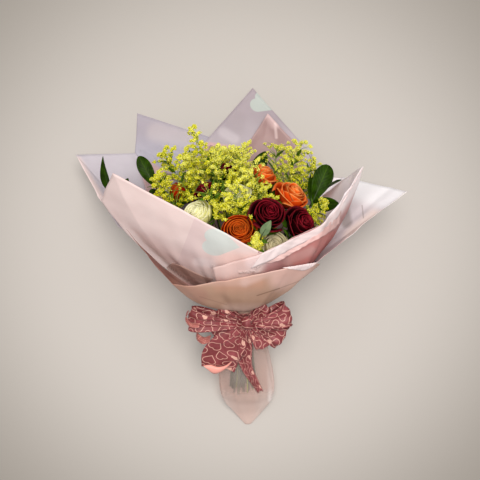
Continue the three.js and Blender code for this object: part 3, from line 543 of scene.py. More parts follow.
# A mesh gathered from several shells, each with its own material and its values on points.
class MeshParts:
    def __init__(self):
        self.points, self.faces, self.slots, self.materials = [], [], [], []
        self.values, self.count = {}, 0

    # Faces and their material: one of each, or a list of groups, with one material or a list of theirs.
    def add(self, points, faces, material, **values):
        groups = faces if isinstance(faces, list) else [faces]
        paints = material if isinstance(material, list) else [material] * len(groups)
        for group, paint in zip(groups, paints):
            if paint not in self.materials:
                self.materials.append(paint)
            self.faces.append(group + self.count)
            self.slots.append(np.full(len(group), self.materials.index(paint)))
        for key, value in values.items():
            value = np.asarray(value, float)
            full = value if value.ndim else np.full(len(points), value)
            self.values.setdefault(key, []).append((self.count, full))
        self.points.append(points)
        self.count += len(points)

    def addTube(self, path, radii, sides, material, **values):
        points, wall, caps = tubes(path, radii, sides)
        self.add(points, [wall, caps], material, **values)

    def build(self, name, nodes):
        mesh = bpy.data.meshes.new(name)
        mesh.vertices.add(self.count)
        mesh.vertices.foreach_set("co", toRow(np.concatenate(self.points)).ravel())
        corners = np.concatenate([f.ravel() for f in self.faces])
        sizes = np.concatenate([np.full(len(f), f.shape[1]) for f in self.faces])
        mesh.loops.add(len(corners))
        mesh.loops.foreach_set("vertex_index", corners.astype(np.int32))
        mesh.polygons.add(len(sizes))
        mesh.polygons.foreach_set("loop_start", (np.cumsum(sizes) - sizes).astype(np.int32))
        mesh.polygons.foreach_set("material_index", np.concatenate(self.slots).astype(np.int32))
        mesh.polygons.foreach_set("use_smooth", np.full(len(sizes), True))
        for key, spans in self.values.items():
            full = np.zeros((self.count, *spans[0][1].shape[1:]))
            for start, value in spans:
                full[start : start + len(value)] = value
            if full.ndim == 2:
                mesh.uv_layers.new(name=key).data.foreach_set("uv", full[corners].ravel())
            else:
                mesh.attributes.new(key, "FLOAT", "POINT").data.foreach_set("value", full)
        for material in self.materials:
            mesh.materials.append(material)
        mesh.update(calc_edges=True)
        mesh.validate()
        piece = bpy.data.objects.new(name, mesh)
        bpy.context.scene.collection.objects.link(piece)
        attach(piece, "root")
        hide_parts(*nodes)
        return piece


def unit(v):
    v = np.asarray(v, float)
    return v / (np.linalg.norm(v, axis=-1, keepdims=True) + 1e-12)


def direction(polar, azimuth):  # polar degrees off the stems' axis; azimuth 0 front, 90 right, 180 back
    p, a = math.radians(polar), math.radians(azimuth)
    return np.array([math.sin(p) * math.sin(a), -math.sin(p) * math.cos(a), math.cos(p)])


def turnUpTo(axis):  # the shortest turn that takes +z to axis
    v = np.cross([0, 0, 1.0], axis)
    k = np.array([[0, -v[2], v[1]], [v[2], 0, -v[0]], [-v[1], v[0], 0]])
    return np.eye(3) + k + k @ k / (1 + axis[2])


# A smooth line through points (m, 3), at count places: Catmull-Rom, with its ends carried straight on.
def smoothLine(points, count):
    p = np.asarray(points, float)
    p = np.concatenate([2 * p[:1] - p[1:2], p, 2 * p[-1:] - p[-2:-1]])
    place = np.linspace(0, len(p) - 3, count)
    k = np.minimum(place.astype(int), len(p) - 4)
    t = (place - k)[:, None]
    a, b, c, d = p[k], p[k + 1], p[k + 2], p[k + 3]
    return 0.5 * (2 * b + (c - a) * t + (2 * a - 5 * b + 4 * c - d) * t**2 + (3 * b - a - 3 * c + d) * t**3)


# What is in the bunch: the same places as in the solids.
roses = {
    # name: colour, polar and azimuth of its face, reach from the tie to that face, width
    "orange_front": ("orange", 26.7, -4, 200, 46),
    "red_front": ("red", 24, 25, 221, 48),
    "red_right": ("red", 32, 53, 210, 46),
    "white_front": ("white", 33.2, 27, 182, 40),
    "orange_right": ("orange", 21, 80, 216, 45),
    "white_left": ("white", 25.5, -52, 208, 44),
    "white_middle": ("white", 9, -17, 213, 40),
    "red_left": ("red", 16, -90, 208, 40),
    "orange_left": ("orange", 31.3, -111, 211, 39),
    "orange_middle": ("orange", 9.5, 125, 222, 42),
    "red_middle": ("red", 13, -140, 221, 38),
    "white_right": ("white", 36, 88, 184, 38),
    "red_back": ("red", 36, 158, 192, 42),
    "orange_back": ("orange", 37, -158, 192, 42),
}
bloom = {
    "nod": 1.55, "height": 0.84, "gap": 0.4,  # how much further it leans, height in widths, mm to its stem
    "balls": ((0.3, 0.36), (0.62, 0.47)),  # the room it takes: share of its height, radius in widths
}
sprays = {
    # name: where the flowering part starts, its tip, its longest branch
    "tall": ((-27, -2, 186), (-73, 10, 280), 24),
    "left": ((-70, 8, 168), (-113, 30, 234), 32),
    "left_low": ((-90, -4, 158), (-122, -2, 210), 28),
    "left_middle": ((-58, 38, 172), (-80, 25, 232), 36),
    "middle": ((-24, 5, 184), (-43, 16, 240), 36),
    "back_middle": ((0, 8, 182), (-6, 36, 238), 36),
    "back_left": ((-14, 66, 158), (-38, 92, 204), 40),
    "back_right": ((40, 42, 168), (50, 64, 228), 38),
    "arching": ((56, 38, 162), (83, 60, 236), 32),
    "right": ((74, 30, 158), (102, 45, 214), 34),
    "centre": ((26, -24, 178), (12, -26, 232), 36),
    "front_middle": ((-1, -55, 174), (-13, -50, 216), 30),
    "front_left": ((-38, -30, 174), (-48, -54, 214), 36),
    "front": ((15, -82, 140), (18, -98, 162), 17),
    "right_low": ((80, -30, 150), (114, -34, 186), 20),
}
sprigs = {
    # name: the stem's end, then each leaf: how far back it springs, its tip, its width
    "left": ((-125, 20, 186), [(0, (-148, 40, 224), 20), (6, (-134, 12, 174), 13)]),
    "far_left": ((-187, 12, 179), [(0, (-196, 22, 232), 18), (10, (-166, 52, 184), 12)]),
    "right": ((97, -12, 177), [(0, (119, 14, 222), 27), (2, (139, 20, 196), 21), (5, (132, -27, 182), 20),
                               (3, (97, 24, 206), 11)]),
    "front": ((24, -103, 172), [(0, (36, -112, 199), 12)]),
    "back": ((12, 96, 158), [(0, (34, 122, 196), 21), (8, (-25, 121, 176), 19)]),
}
bunch = {
    # how fast it opens, the spiral's degrees and height, how far below the tie the stems end
    # and how unevenly, the heights at which they are set, the straight lead to a bloom, and how
    # they are packed side by side
    "spreadUp": 0.039, "spreadDown": 0.0105, "turn": 26.0, "turnHeight": 70.0, "below": 147.0, "uneven": 10.0,
    "levels": (-60, 0, 40, 85, 125), "lead": 11.0, "clear": 0.55, "ease": 100.0,
    "rounds": 400, "drawIn": 0.998,
}
stemRadius = {"rose": 2.1, "spray": 1.2, "sprig": 1.4}
goldenTurn = math.radians(137.5)  # from one petal or branch to the next


def opening(z):  # how far the bunch has opened from the tie: the root of 1 + (rate z) squared
    return math.sqrt(1 + ((bunch["spreadUp"] if z > 0 else bunch["spreadDown"]) * z) ** 2)


def aboutAxis(p, z, back=False):  # turned about the stems' axis by the spiral at height z
    angle = math.radians(bunch["turn"]) * math.tanh(z / bunch["turnHeight"]) * (-1 if back else 1)
    c, s = math.cos(angle), math.sin(angle)
    return np.array([c * p[0] - s * p[1], s * p[0] + c * p[1]])


def draw(seed):  # a small seeded draw in 32-bit whole numbers, as the solids use
    state, mask = seed * 2654435761, 0xFFFFFFFF
    while True:
        state = (state + 0x6D2B79F5) & mask
        t = ((state ^ (state >> 15)) * (1 | state)) & mask
        t ^= (t + (((t ^ (t >> 7)) * (61 | t)) & mask)) & mask
        yield ((t ^ (t >> 14)) & mask) / 4294967296


def roseSeat(rose):  # a bloom's foot and axis
    _, polar, azimuth, reach, width = rose
    axis = direction(polar * bloom["nod"], azimuth)
    return direction(polar, azimuth) * reach - axis * width * bloom["height"], axis


# Each stem's places where it crosses the tie, pushed apart until the stems lie side by side.
def packAtTie(wanted, radii):
    placed = [[float(w[0]), float(w[1])] for w in wanted]
    for _ in range(bunch["rounds"]):
        placed = [[bunch["drawIn"] * x, bunch["drawIn"] * y] for x, y in placed]
        for i in range(len(placed)):
            for j in range(i):
                dx, dy = placed[i][0] - placed[j][0], placed[i][1] - placed[j][1]
                apart = math.hypot(dx, dy)
                short = radii[i] + radii[j] + bunch["clear"] - apart
                if short <= 0:
                    continue
                push = (short / 2 + 1e-4) / apart
                placed[i] = [placed[i][0] + dx * push, placed[i][1] + dy * push]
                placed[j] = [placed[j][0] - dx * push, placed[j][1] - dy * push]
    return placed


# A stem's points from its cut foot to its end: its wanted place at the tie, spread and turned with height,
# plus the shift that the packing gave it, which eases off above the tie.
def stemPaths():
    stems = {}
    for name, rose in roses.items():
        base, axis = roseSeat(rose)
        stems["stem_" + name] = (base - bloom["gap"] * axis, axis, stemRadius["rose"])
    for name, (base, _, _) in sprays.items():
        stems["goldenrod_" + name] = (np.array(base, float), unit(base), stemRadius["spray"])
    for name, (end, _) in sprigs.items():
        stems["sprig_" + name] = (np.array(end, float), unit(end), stemRadius["sprig"])
    wanted = [aboutAxis(end, end[2], back=True) / opening(end[2]) for end, _, _ in stems.values()]
    placed = packAtTie(wanted, [radius for _, _, radius in stems.values()])
    lengths = draw(5)
    paths = {}
    for (name, (end, arrive, _)), want, place in zip(stems.items(), wanted, placed):
        below = bunch["below"] - bunch["uneven"] * next(lengths)
        shift = np.array(place) - want
        path = []
        for z in (-below, *bunch["levels"]):
            if z >= end[2] - 2 * bunch["lead"]:
                continue
            centre = aboutAxis(want + (shift if z <= 0 else 0), z) * opening(z)
            if z > 0:
                t = min(z / bunch["ease"], 1)
                centre = centre + aboutAxis(shift, z) * (1 - t * t * (3 - 2 * t)) * math.sqrt(opening(z))
            path.append([*centre, z])
        paths[name] = np.array([*path, end - bunch["lead"] * arrive, end])
    return paths


paths = stemPaths()
ballCentres, ballRadii = [], []  # where the blooms are, so that the sprays keep out of them
for rose in roses.values():
    base, axis = roseSeat(rose)
    ballCentres += [base + axis * rose[4] * bloom["height"] * share for share, _ in bloom["balls"]]
    ballRadii += [rose[4] * radius for _, radius in bloom["balls"]]
ballCentres, ballRadii = np.array(ballCentres), np.array(ballRadii)
print("stems placed:", len(paths))

# Roses.
petalShape = {"rows": 14, "columns": 17, "thickness": 0.45, "full": 1.04, "spin": 77.0}
budRadii = np.array([0.1, 0.24, 0.26, 0.2, 0.1, 0.02])  # in widths of the bloom, from the bud's foot up
roseForms = {
    # how many petals, and for the first and the last: lip radius, height, half angle, outward curl
    "open": {
        "petals": 27, "radius": (0.07, 0.93), "top": (1.0, 0.72), "half": (140, 52), "curl": (0.0, 0.26)},
    "tight": {
        "petals": 36, "radius": (0.05, 0.93), "top": (1.0, 0.8), "half": (150, 54), "curl": (0.0, 0.16)},
}
petalSteps = {"radius": 0.9, "top": 2.0, "half": 0.55, "curl": 1.3}  # the power of each from first to last
dressed = {
    # the form and how full the bloom is, where it isn't an open one of the usual fullness
    "orange_front": ("tight", 1.06), "white_front": ("tight", 1.2), "white_left": ("tight", 1.12),
    "red_front": ("open", 1.06), "red_right": ("open", 1.06), "orange_right": ("open", 1.15),
}
otherFinish = {
    "orange_right": "coral", "orange_middle": "coral", "orange_back": "coral", "white_front": "cream"}


# A petal: for u across from -1 to 1 and v up from 0 to 1, the radius swells from the foot to the lip, which
# rolls outward and down, and one edge lies further out than the other. The petals follow one another at the
# golden angle, each a little further out, lower and narrower than the last.
def rosePetals(random, form):
    n = form["petals"]
    place = np.linspace(0, 1, n)[:, None, None]
    radius, top, half, curl = (form[key][0] + (form[key][1] - form[key][0]) * place**power
                               for key, power in petalSteps.items())
    angle = goldenTurn * np.arange(n)[:, None, None] + random.uniform(-0.2, 0.2, (n, 1, 1))
    top = top * random.uniform(0.97, 1.02, (n, 1, 1))
    curl = curl * random.uniform(0.65, 1.35, (n, 1, 1))
    wave = random.uniform(0, 6.28, (n, 1, 1))
    v = np.linspace(0, 1, petalShape["rows"])[None, :, None] ** 0.8
    u = np.linspace(-1, 1, petalShape["columns"])[None, None, :]
    reach = v * (1 - (0.16 * np.abs(u) ** 2.6 + 0.02 * np.sin(2.5 * u + wave)) * v)
    swell = 0.16 + 0.84 * np.sin(0.5 * math.pi * np.minimum(1, reach * 1.3)) ** 0.9
    closing = 1 - (0.2 - 0.6 * curl) * np.clip((reach - 0.55) / 0.45, 0, 1) ** 2
    roll = np.clip((v - 0.62) / 0.38, 0, 1) ** 1.8
    r = radius * swell * closing * (1 + 0.11 * u) + curl * roll * (0.85 + 0.2 * np.cos(2 * u + wave))
    z = top * reach ** 1.05 - curl * roll**1.7 * (0.5 + 0.25 * u**2)
    theta = angle + np.radians(half) * u * (0.62 + 0.38 * v)
    return np.stack([r * np.cos(theta), r * np.sin(theta), z + 0 * r], -1), u, v


def petalValue(value, shape):  # a value on the petals' points, whose columns run the other way in the mesh
    return perBlade(np.broadcast_to(value, shape)[:, :, ::-1], *shape[1:])


# A bloom: its petals about a small bud, which is a round body that narrows to its top.
def makeRose(number, name, colour, width, base, axis):
    random = np.random.default_rng(40 + number)
    kind, full = dressed.get(name, ("open", petalShape["full"]))
    grid, u, v = rosePetals(random, roseForms[kind])
    shape = grid.shape[:3]
    scale = width * np.array([full / 2.1, full / 2.1, bloom["height"] * 0.98])
    spin = math.radians(petalShape["spin"] * number)
    turn = np.array([[math.cos(spin), -math.sin(spin), 0], [math.sin(spin), math.cos(spin), 0], [0, 0, 1]])
    placed = (grid * scale) @ (turnUpTo(axis) @ turn).T + base
    points, faces, _ = thinBlades(placed[:, :, ::-1], petalShape["thickness"])
    paint = petals[otherFinish.get(name, colour)]
    tones = random.uniform(0, 1, (shape[0], 1, 1))
    across, along, tone = (petalValue(value, shape) for value in (u * 0.5 + 0.5, v, tones))
    parts = MeshParts()
    parts.add(points, faces, paint, along=along, tone=tone, petal=np.stack([across, along], -1))
    top = base + axis * width * bloom["height"] * 0.8
    bud = smoothLine([base, base + axis * width * 0.3, top], len(budRadii))
    parts.addTube(bud, width * budRadii, 12, paint, along=0.1, tone=0.2)
    return parts.build("bloom_" + name, ["rose_" + name])


for number, (name, rose) in enumerate(roses.items()):
    makeRose(number, name, rose[0], rose[4], *roseSeat(rose))
print("roses made:", len(roses))

# Leaves.
leafShape = {"rows": 30, "columns": 13, "thickness": 0.4, "wave": 0.03, "arch": 0.25}
leafForms = {
    # widest at, bluntness, and which way its upper side faces (degrees off the stems and round
    # them), for each leaf
    "left": [(0.6, 0.55, 58, 0), (0.5, 0.8, 58, 0)], "far_left": [(0.42, 0.95, 60, -52), (0.5, 0.9, 58, 0)],
    "right": [(0.66, 0.5, 58, 0), (0.6, 0.7, 50, -112), (0.52, 0.6, 62, 0), (0.5, 0.8, 58, 0)],
    "front": [(0.5, 0.8, 58, 0)], "back": [(0.55, 0.7, 58, 0), (0.55, 0.7, 58, 0)],
}


# A leaf from root to tip: half its width is a rounded sine of its length, widest at the given
# share of it and drawn in to the stalk; the blade is folded a little at the rib, arched along
# it, and has a slow wave at its edge.
def leafGrid(root, tip, width, facing, rows, columns, arch, widest=0.5, blunt=0.85):
    length = np.linalg.norm(tip - root)
    out = (tip - root) / length
    side = unit(np.cross(out, facing))
    normal = np.cross(side, out)
    v = np.linspace(0, 1, rows)[:, None]
    s = np.linspace(-1, 1, columns)[None, :]
    swell = np.sin(math.pi * np.clip(v, 0, 0.995) ** (math.log(0.5) / math.log(widest))) ** blunt
    half = width / 2 * swell * np.clip(v / 0.16, 0, 1) ** 0.5 + 0.3
    wave = leafShape["wave"] * width * np.sin(8 * v + s) * s * s
    lift = np.abs(s) ** 1.5 * half * 0.26 + arch * length * v * (1 - v) + wave
    return root + v[..., None] * length * out + (s * half)[..., None] * side + lift[..., None] * normal


def bladeUv(n, rows, columns):  # across and along each blade, from 0 to 1
    across = np.broadcast_to(np.linspace(0, 1, columns), (n, rows, columns))
    along = np.broadcast_to(np.linspace(0, 1, rows)[:, None], (n, rows, columns))
    return np.stack([perBlade(across, rows, columns), perBlade(along, rows, columns)], -1)


# A sprig: its twig, and its leaves with a rib under each.
def makeSprig(name, end, leaves):
    parts = MeshParts()
    end = np.array(end, float)
    line = smoothLine(paths["sprig_" + name], 40)
    parts.addTube(line, np.linspace(stemRadius["sprig"], 1.1, 40), 10, stemGreen)
    material = leafPale if name == "front" else leafDark
    rows, columns = leafShape["rows"], leafShape["columns"]
    for (back, tip, width), (widest, blunt, off, about) in zip(leaves, leafForms[name]):
        facing = direction(off, about)
        root = end - (back + 1) * unit(end)
        form = (rows, columns, leafShape["arch"], widest, blunt)
        grid = leafGrid(root, np.array(tip, float), width, facing, *form)
        points, faces, _ = thinBlades(grid[::-1], leafShape["thickness"])
        uv = bladeUv(1, rows, columns)
        uv[:, 1] = 1 - uv[:, 1]  # the blade's rows run from its tip
        parts.add(points, faces, material, blade=uv)
        rib = grid[:-1, columns // 2] - 0.3 * facing
        parts.addTube(rib, np.linspace(0.9, 0.2, rows - 1), 6, stemGreen)
    return parts.build("leaves_" + name, ["sprig_" + name])


for name, (end, leaves) in sprigs.items():
    makeSprig(name, end, leaves)
print("leafy sprigs made:", len(sprigs))

# Rose stems.
stalk = {
    # mm: its radius, how much more at a joint, its cut end's radius; how the joints follow; the swelling, as
    # a share of the bloom's width
    "radius": 2.05, "joint": 0.15, "cut": 1.6, "jointTurn": 31.0, "swelling": 0.12, "steps": 60,
    "sepals": 5, "sepalRows": 12, "sepalColumns": 5, "sepalThickness": 0.35,
}


# A round stem along its path, with slight joints and a swelling under the bloom, a pale cut
# end, and five sepals that clasp the bloom's foot: for u across and v up, each widens as a sine
# and runs out and up to its point.
def makeStem(name, rose):
    parts = MeshParts()
    base, axis = roseSeat(rose)
    width = rose[4]
    line = smoothLine(paths["stem_" + name], stalk["steps"])
    place = np.linspace(0, 1, stalk["steps"])
    radii = stalk["radius"] + stalk["joint"] * np.maximum(0, np.cos(place * stalk["jointTurn"])) ** 8
    swelling = width * stalk["swelling"] - stemRadius["rose"]
    radii = radii + swelling * np.clip((place - 0.95) / 0.05, 0, 1) ** 2
    parts.addTube(line, radii, 12, stemGreen)
    cut = np.stack([line[0] - 0.4 * unit(line[1] - line[0]), line[0] + 0.3])
    parts.addTube(cut, stalk["cut"], 12, pithPale)
    n, rows, columns = stalk["sepals"], stalk["sepalRows"], stalk["sepalColumns"]
    v = np.linspace(0, 1, rows)[None, :, None]
    u = np.linspace(-1, 1, columns)[None, None, :]
    angle = (np.arange(n) * 2 * math.pi / n + math.radians(20))[:, None, None]
    r = width * (0.11 + 0.42 * np.sin(v * 1.5) ** 1.1) + 1.0 + 0 * (u + angle)
    theta = angle + 0.5 * u * np.sin(math.pi * (0.25 + 0.75 * v)) ** 0.8
    z = width * bloom["height"] * (0.42 * v**1.4) - 1.2
    grid = np.stack([r * np.cos(theta), r * np.sin(theta), z + 0 * r], -1) @ turnUpTo(axis).T + base
    points, faces, _ = thinBlades(grid[:, :, ::-1], stalk["sepalThickness"])
    parts.add(points, faces, leafSmall, blade=bladeUv(n, rows, columns))
    return parts.build("stalk_" + name, ["stem_" + name])


for name, rose in roses.items():
    makeStem(name, rose)
print("rose stems made")

# Goldenrod.
goldenrod = {
    "steps": 60, "branches": 28, "branchSteps": 12, "highest": 0.93, "tufts": 13, "topTufts": 16,
    "twig": (6.0, 2.8), "topTwig": (6.5, 4.0),  # mm long, and how much shorter at the end
    "perTuft": 11, "floret": 0.95, "spread": (0.7, 2.5), "offSurface": 14.0,
    "tone": 0.46, "toneRise": 0.44, "toneSpread": 0.42,
    "leaves": 13, "leafLength": (14, 26), "leafWidth": 4.0, "leafRows": 9, "leafColumns": 5,
}
lowest = {  # where the first branch is on the flowering part, as a share of it
    "front_left": -0.45, "left_middle": -0.25, "middle": -0.3, "front_middle": -0.3, "centre": -0.3}
thinner = {  # the share of its florets that a spray keeps
    "tall": 0.4, "arching": 0.5, "right_low": 0.28, "left": 0.65, "back_middle": 0.75, "back_right": 0.22,
    "right": 0.3, "left_low": 0.75}
yellower = {  # how much yellower than the rest its florets are, or greener below 0
    "tall": -0.1, "left": -0.22, "left_low": -0.22, "arching": 0.04, "right": -0.2, "right_low": -0.1,
    "middle": 0.12, "back_middle": 0.14, "centre": 0.1, "front_left": -0.1, "front_middle": -0.04}
views = {  # how wide a view each bloom keeps free of florets in front of it, as a share of its width
    "orange_middle": 0.4, "red_left": 0.5, "white_left": 0.5, "orange_right": 0.5, "white_middle": 0.24,
    "orange_left": 0.4, "red_middle": 0.26, "orange_front": 0.52, "red_front": 0.52, "red_right": 0.52,
    "white_front": 0.5, "orange_back": 0.3}
# a bloom's face in widths above its foot, mm behind it that still count as in front, the share of twigs kept
viewRule = {"face": 0.6, "behind": 10.0, "kept": 0.1}

# A floret: a bud that swells from its foot to a ring and opens into five short points round a raised middle.
ringTurn = np.arange(5) * 2 * math.pi / 5
floretPoints = np.concatenate([
    [[0, 0, -1.0]],
    np.stack([0.75 * np.cos(ringTurn), 0.75 * np.sin(ringTurn), 0 * ringTurn - 0.2], -1),
    np.stack([np.cos(ringTurn + 0.63), np.sin(ringTurn + 0.63), 0 * ringTurn + 0.4], -1),
    [[0, 0, 0.75]],
])
ringNow, ringNext = np.arange(5), (np.arange(5) + 1) % 5
floretFaces = np.concatenate([
    np.stack([0 * ringNow, 1 + ringNext, 1 + ringNow], -1),
    np.stack([1 + ringNow, 1 + ringNext, 6 + ringNow], -1),
    np.stack([1 + ringNext, 6 + ringNext, 6 + ringNow], -1),
    np.stack([6 + ringNow, 6 + ringNext, 0 * ringNow + 11], -1),
])
floretAlong = np.concatenate([[0.0], np.full(5, 0.6), np.full(6, 1.0)])


# One floret at each centre, opening along its axis.
def addFlorets(parts, centres, axes, sizes, tones):
    n = len(centres)
    helper = np.where(np.abs(axes[:, 2:3]) < 0.9, [[0.0, 0.0, 1.0]], [[1.0, 0.0, 0.0]])
    side = unit(np.cross(helper, axes))
    frames = np.stack([side, np.cross(axes, side), axes], 1) * sizes[:, None, None]
    points = np.einsum("pk,nkc->npc", floretPoints, frames) + centres[:, None]
    faces = floretFaces[None] + (np.arange(n) * len(floretPoints))[:, None, None]
    parts.add(points.reshape(-1, 3), faces.reshape(-1, 3), floretYellow,
              tone=np.repeat(tones, len(floretPoints)), along=np.tile(floretAlong, n))


# Whether each point is in front of a bloom and within the view kept of it.
def hidesBloom(points):
    seen, hidden = onPicture(points), np.zeros(len(points), bool)
    for name, share in views.items():
        base, axis = roseSeat(roses[name])
        width = roses[name][4]
        middle = base + axis * width * viewRule["face"]
        before = points[:, 1] < middle[1] + viewRule["behind"]
        hidden |= before & (np.linalg.norm(seen - onPicture(middle), axis=-1) < share * width)
    return hidden


def isFree(points, room=1.0):  # outside the blooms and off the surface
    clear = (np.linalg.norm(points[:, None] - ballCentres[None], axis=-1) > ballRadii + room).all(1)
    return clear & (points[:, 1] < surfaceY(points[:, 2]) - goldenrod["offSurface"])


# Points along many lines (n, steps, 3), at the places (n, m) from 0 to 1.
def alongLines(lines, place):
    steps = lines.shape[1] - 1
    k = np.minimum((place * steps).astype(int), steps - 1)
    f = (place * steps - k)[..., None]
    row = np.arange(len(lines))[:, None]
    return lines[row, k] * (1 - f) + lines[row, k + 1] * f


# The branches: they leave the stem at the golden angle, the lower ones longer. Each runs straight out and up
# by a rise that slackens, so that it bows over at its end. Returns their lines and the ways they leave.
def branchLines(random, base, axis, length, side, other, spread, first):
    n = goldenrod["branches"]
    share = np.linspace(first, goldenrod["highest"], n)
    turn = goldenTurn * np.arange(n) + random.uniform(0, 0.7, n)
    out = np.cos(turn)[:, None] * side + np.sin(turn)[:, None] * other
    reach = (spread * (1 - 0.6 * np.clip(share, 0, 1)) * random.uniform(0.6, 1.2, n))[:, None, None]
    t = np.linspace(0, 1, goldenrod["branchSteps"])[None, :, None]
    root = base + (share * length)[:, None] * axis
    return root[:, None] + out[:, None] * (reach * t) + axis * (reach * (1.05 * t - 0.42 * t**2.2)), out


# The tufts' twigs: they stand up all along each branch and round the stem's top, each with a lean of its own.
# Returns the feet, ends and ways of those that are clear of the blooms and of the views of them.
def tuftTwigs(random, name, base, tip, axis, branch, out):
    n, m, atTop = len(branch), goldenrod["tufts"], goldenrod["topTufts"]
    place = np.clip(np.linspace(0.2, 1.0, m)[None] + random.uniform(-0.05, 0.05, (n, m)), 0, 1)
    up = np.linspace(0.4, 1.0, atTop)
    foot = np.concatenate([alongLines(branch, place).reshape(-1, 3), base + up[:, None] * (tip - base)])
    (long, less), (topLong, topLess) = goldenrod["twig"], goldenrod["topTwig"]
    size = np.concatenate([(long - less * place).ravel(), topLong - topLess * up])
    lean = 0.75 * random.normal(size=(n * m, 3)) * [1, 1, 0.6]
    way = unit(np.repeat(out, m, axis=0) * 0.35 + 0.8 * axis + lean)
    way = np.concatenate([way, unit(random.normal(size=(atTop, 3)) + 0.8 * axis)])
    end = foot + way * size[:, None]
    kept = random.uniform(0, 1, len(foot)) < np.where(hidesBloom(end), viewRule["kept"], thinner.get(name, 1))
    clear = isFree(foot) & isFree(end, 1.5) & kept
    return foot[clear], end[clear], way[clear]


# The florets: they wind round each twig from a quarter of its length to just past its end, and face out and
# up it. Their tone rises from green low in the spray to yellow at its top.
def tuftFlorets(random, name, base, axis, length, foot, end, way):
    per = goldenrod["perTuft"]
    shareUp = np.linspace(0.25, 1.05, per)[None, :, None]
    spin = (np.arange(per) * 2.4)[None, :] + random.uniform(0, 6.28, (len(foot), 1))
    across = unit(np.cross(way, [0.2, 0.9, 0.3]))
    other = np.cross(way, across)
    around = np.cos(spin)[..., None] * across[:, None] + np.sin(spin)[..., None] * other[:, None]
    off = random.uniform(*goldenrod["spread"], (len(foot), per, 1))
    centre = foot[:, None] + (end - foot)[:, None] * shareUp + around * off
    axes = unit(around + 0.7 * way[:, None] + 0.3 * random.normal(size=around.shape))
    centre, axes = centre.reshape(-1, 3), axes.reshape(-1, 3)
    clear = isFree(centre)
    centre, axes = centre[clear], axes[clear]
    sizes = goldenrod["floret"] * random.uniform(0.65, 1.25, len(centre))
    height = np.clip(((centre - base) @ axis) / length, 0, 1)
    spread = goldenrod["toneSpread"]
    tone = yellower.get(name, 0) + goldenrod["tone"] + goldenrod["toneRise"] * height
    tone = tone + random.uniform(-spread, spread, len(centre))
    return centre, axes, sizes, np.clip(tone, 0, 1)


# Narrow leaves that leave the stem in turn.
def addSprayLeaves(parts, random, base, axis, length, side, other):
    grids, rows, columns = [], goldenrod["leafRows"], goldenrod["leafColumns"]
    for k in range(goldenrod["leaves"]):
        at = base + axis * length * random.uniform(-0.1, 0.8)
        way = unit(np.cos(k * 2.4) * side + np.sin(k * 2.4) * other + 0.7 * axis)
        end = at + way * random.uniform(*goldenrod["leafLength"])
        if isFree(np.stack([at, end])).all():
            grids.append(leafGrid(at, end, goldenrod["leafWidth"], axis + 0.1, rows, columns, 0.12))
    if grids:
        points, faces, _ = thinBlades(np.stack(grids)[:, ::-1], 0.3)
        parts.add(points, faces, leafSmall, blade=bladeUv(len(grids), rows, columns))


# A spray: a stem that thins to its tip, branches, twigs, florets and leaves.
def makeSpray(number, name, base, tip, spread):
    random = np.random.default_rng(700 + number)
    base, tip = np.array(base, float), np.array(tip, float)
    length = np.linalg.norm(tip - base)
    axis = (tip - base) / length
    side = unit(np.cross([0.31, 0.17, 0.93], axis))
    other = np.cross(axis, side)
    parts = MeshParts()
    stem = smoothLine([*paths["goldenrod_" + name], tip], goldenrod["steps"])
    parts.addTube(stem, np.linspace(stemRadius["spray"], 0.45, goldenrod["steps"]), 8, twigGreen)
    branch, out = branchLines(random, base, axis, length, side, other, spread, lowest.get(name, -0.08))
    allowed = isFree(branch[:, -1]) | isFree(branch[:, 7])
    parts.addTube(branch[allowed], np.linspace(0.55, 0.25, goldenrod["branchSteps"]), 5, twigGreen)
    foot, end, way = tuftTwigs(random, name, base, tip, axis, branch, out)
    parts.addTube(np.stack([foot, (foot + end) / 2 + 0.4, end], 1), 0.22, 3, twigGreen)
    addFlorets(parts, *tuftFlorets(random, name, base, axis, length, foot, end, way))
    addSprayLeaves(parts, random, base, axis, length, side, other)
    return parts.build("spray_" + name, ["goldenrod_" + name])


for number, (name, spray) in enumerate(sprays.items()):
    makeSpray(number, name, *spray)
print("goldenrod made:", len(sprays))

# Twine.
twine = {
    "thickness": 2.2, "turns": 2, "strands": 3, "strand": 0.55, "off": 0.5, "winds": 34, "clear": 0.4,
    "steps": 97, "sides": 6,
}
neckLow, neckHigh = -12.0, 6.5  # the neck of the wrap, mm above the tie
twineOuter = float(tieBox[1][0] - tieBox[0][0]) * 500  # half the ring's width
neckRadius = twineOuter + twine["clear"]


# Turns of twine: circles side by side, each of twisted strands that wind round its centre line.
def makeTwine():
    parts = MeshParts()
    t = np.linspace(0, 2 * math.pi, twine["steps"])
    middle = twineOuter - twine["thickness"] / 2
    for turn in range(twine["turns"]):
        z = (turn - 0.5) * twine["thickness"]
        for strand in range(twine["strands"]):
            wind = twine["winds"] * t + strand * 2 * math.pi / twine["strands"]
            r = middle + twine["off"] * np.cos(wind)
            line = np.stack([r * np.cos(t), r * np.sin(t), z + twine["off"] * np.sin(wind)], -1)
            parts.addTube(line, twine["strand"], twine["sides"], twineJute)
    return parts.build("jute_tie", ["twine_tie"])


makeTwine()
print("twine made")

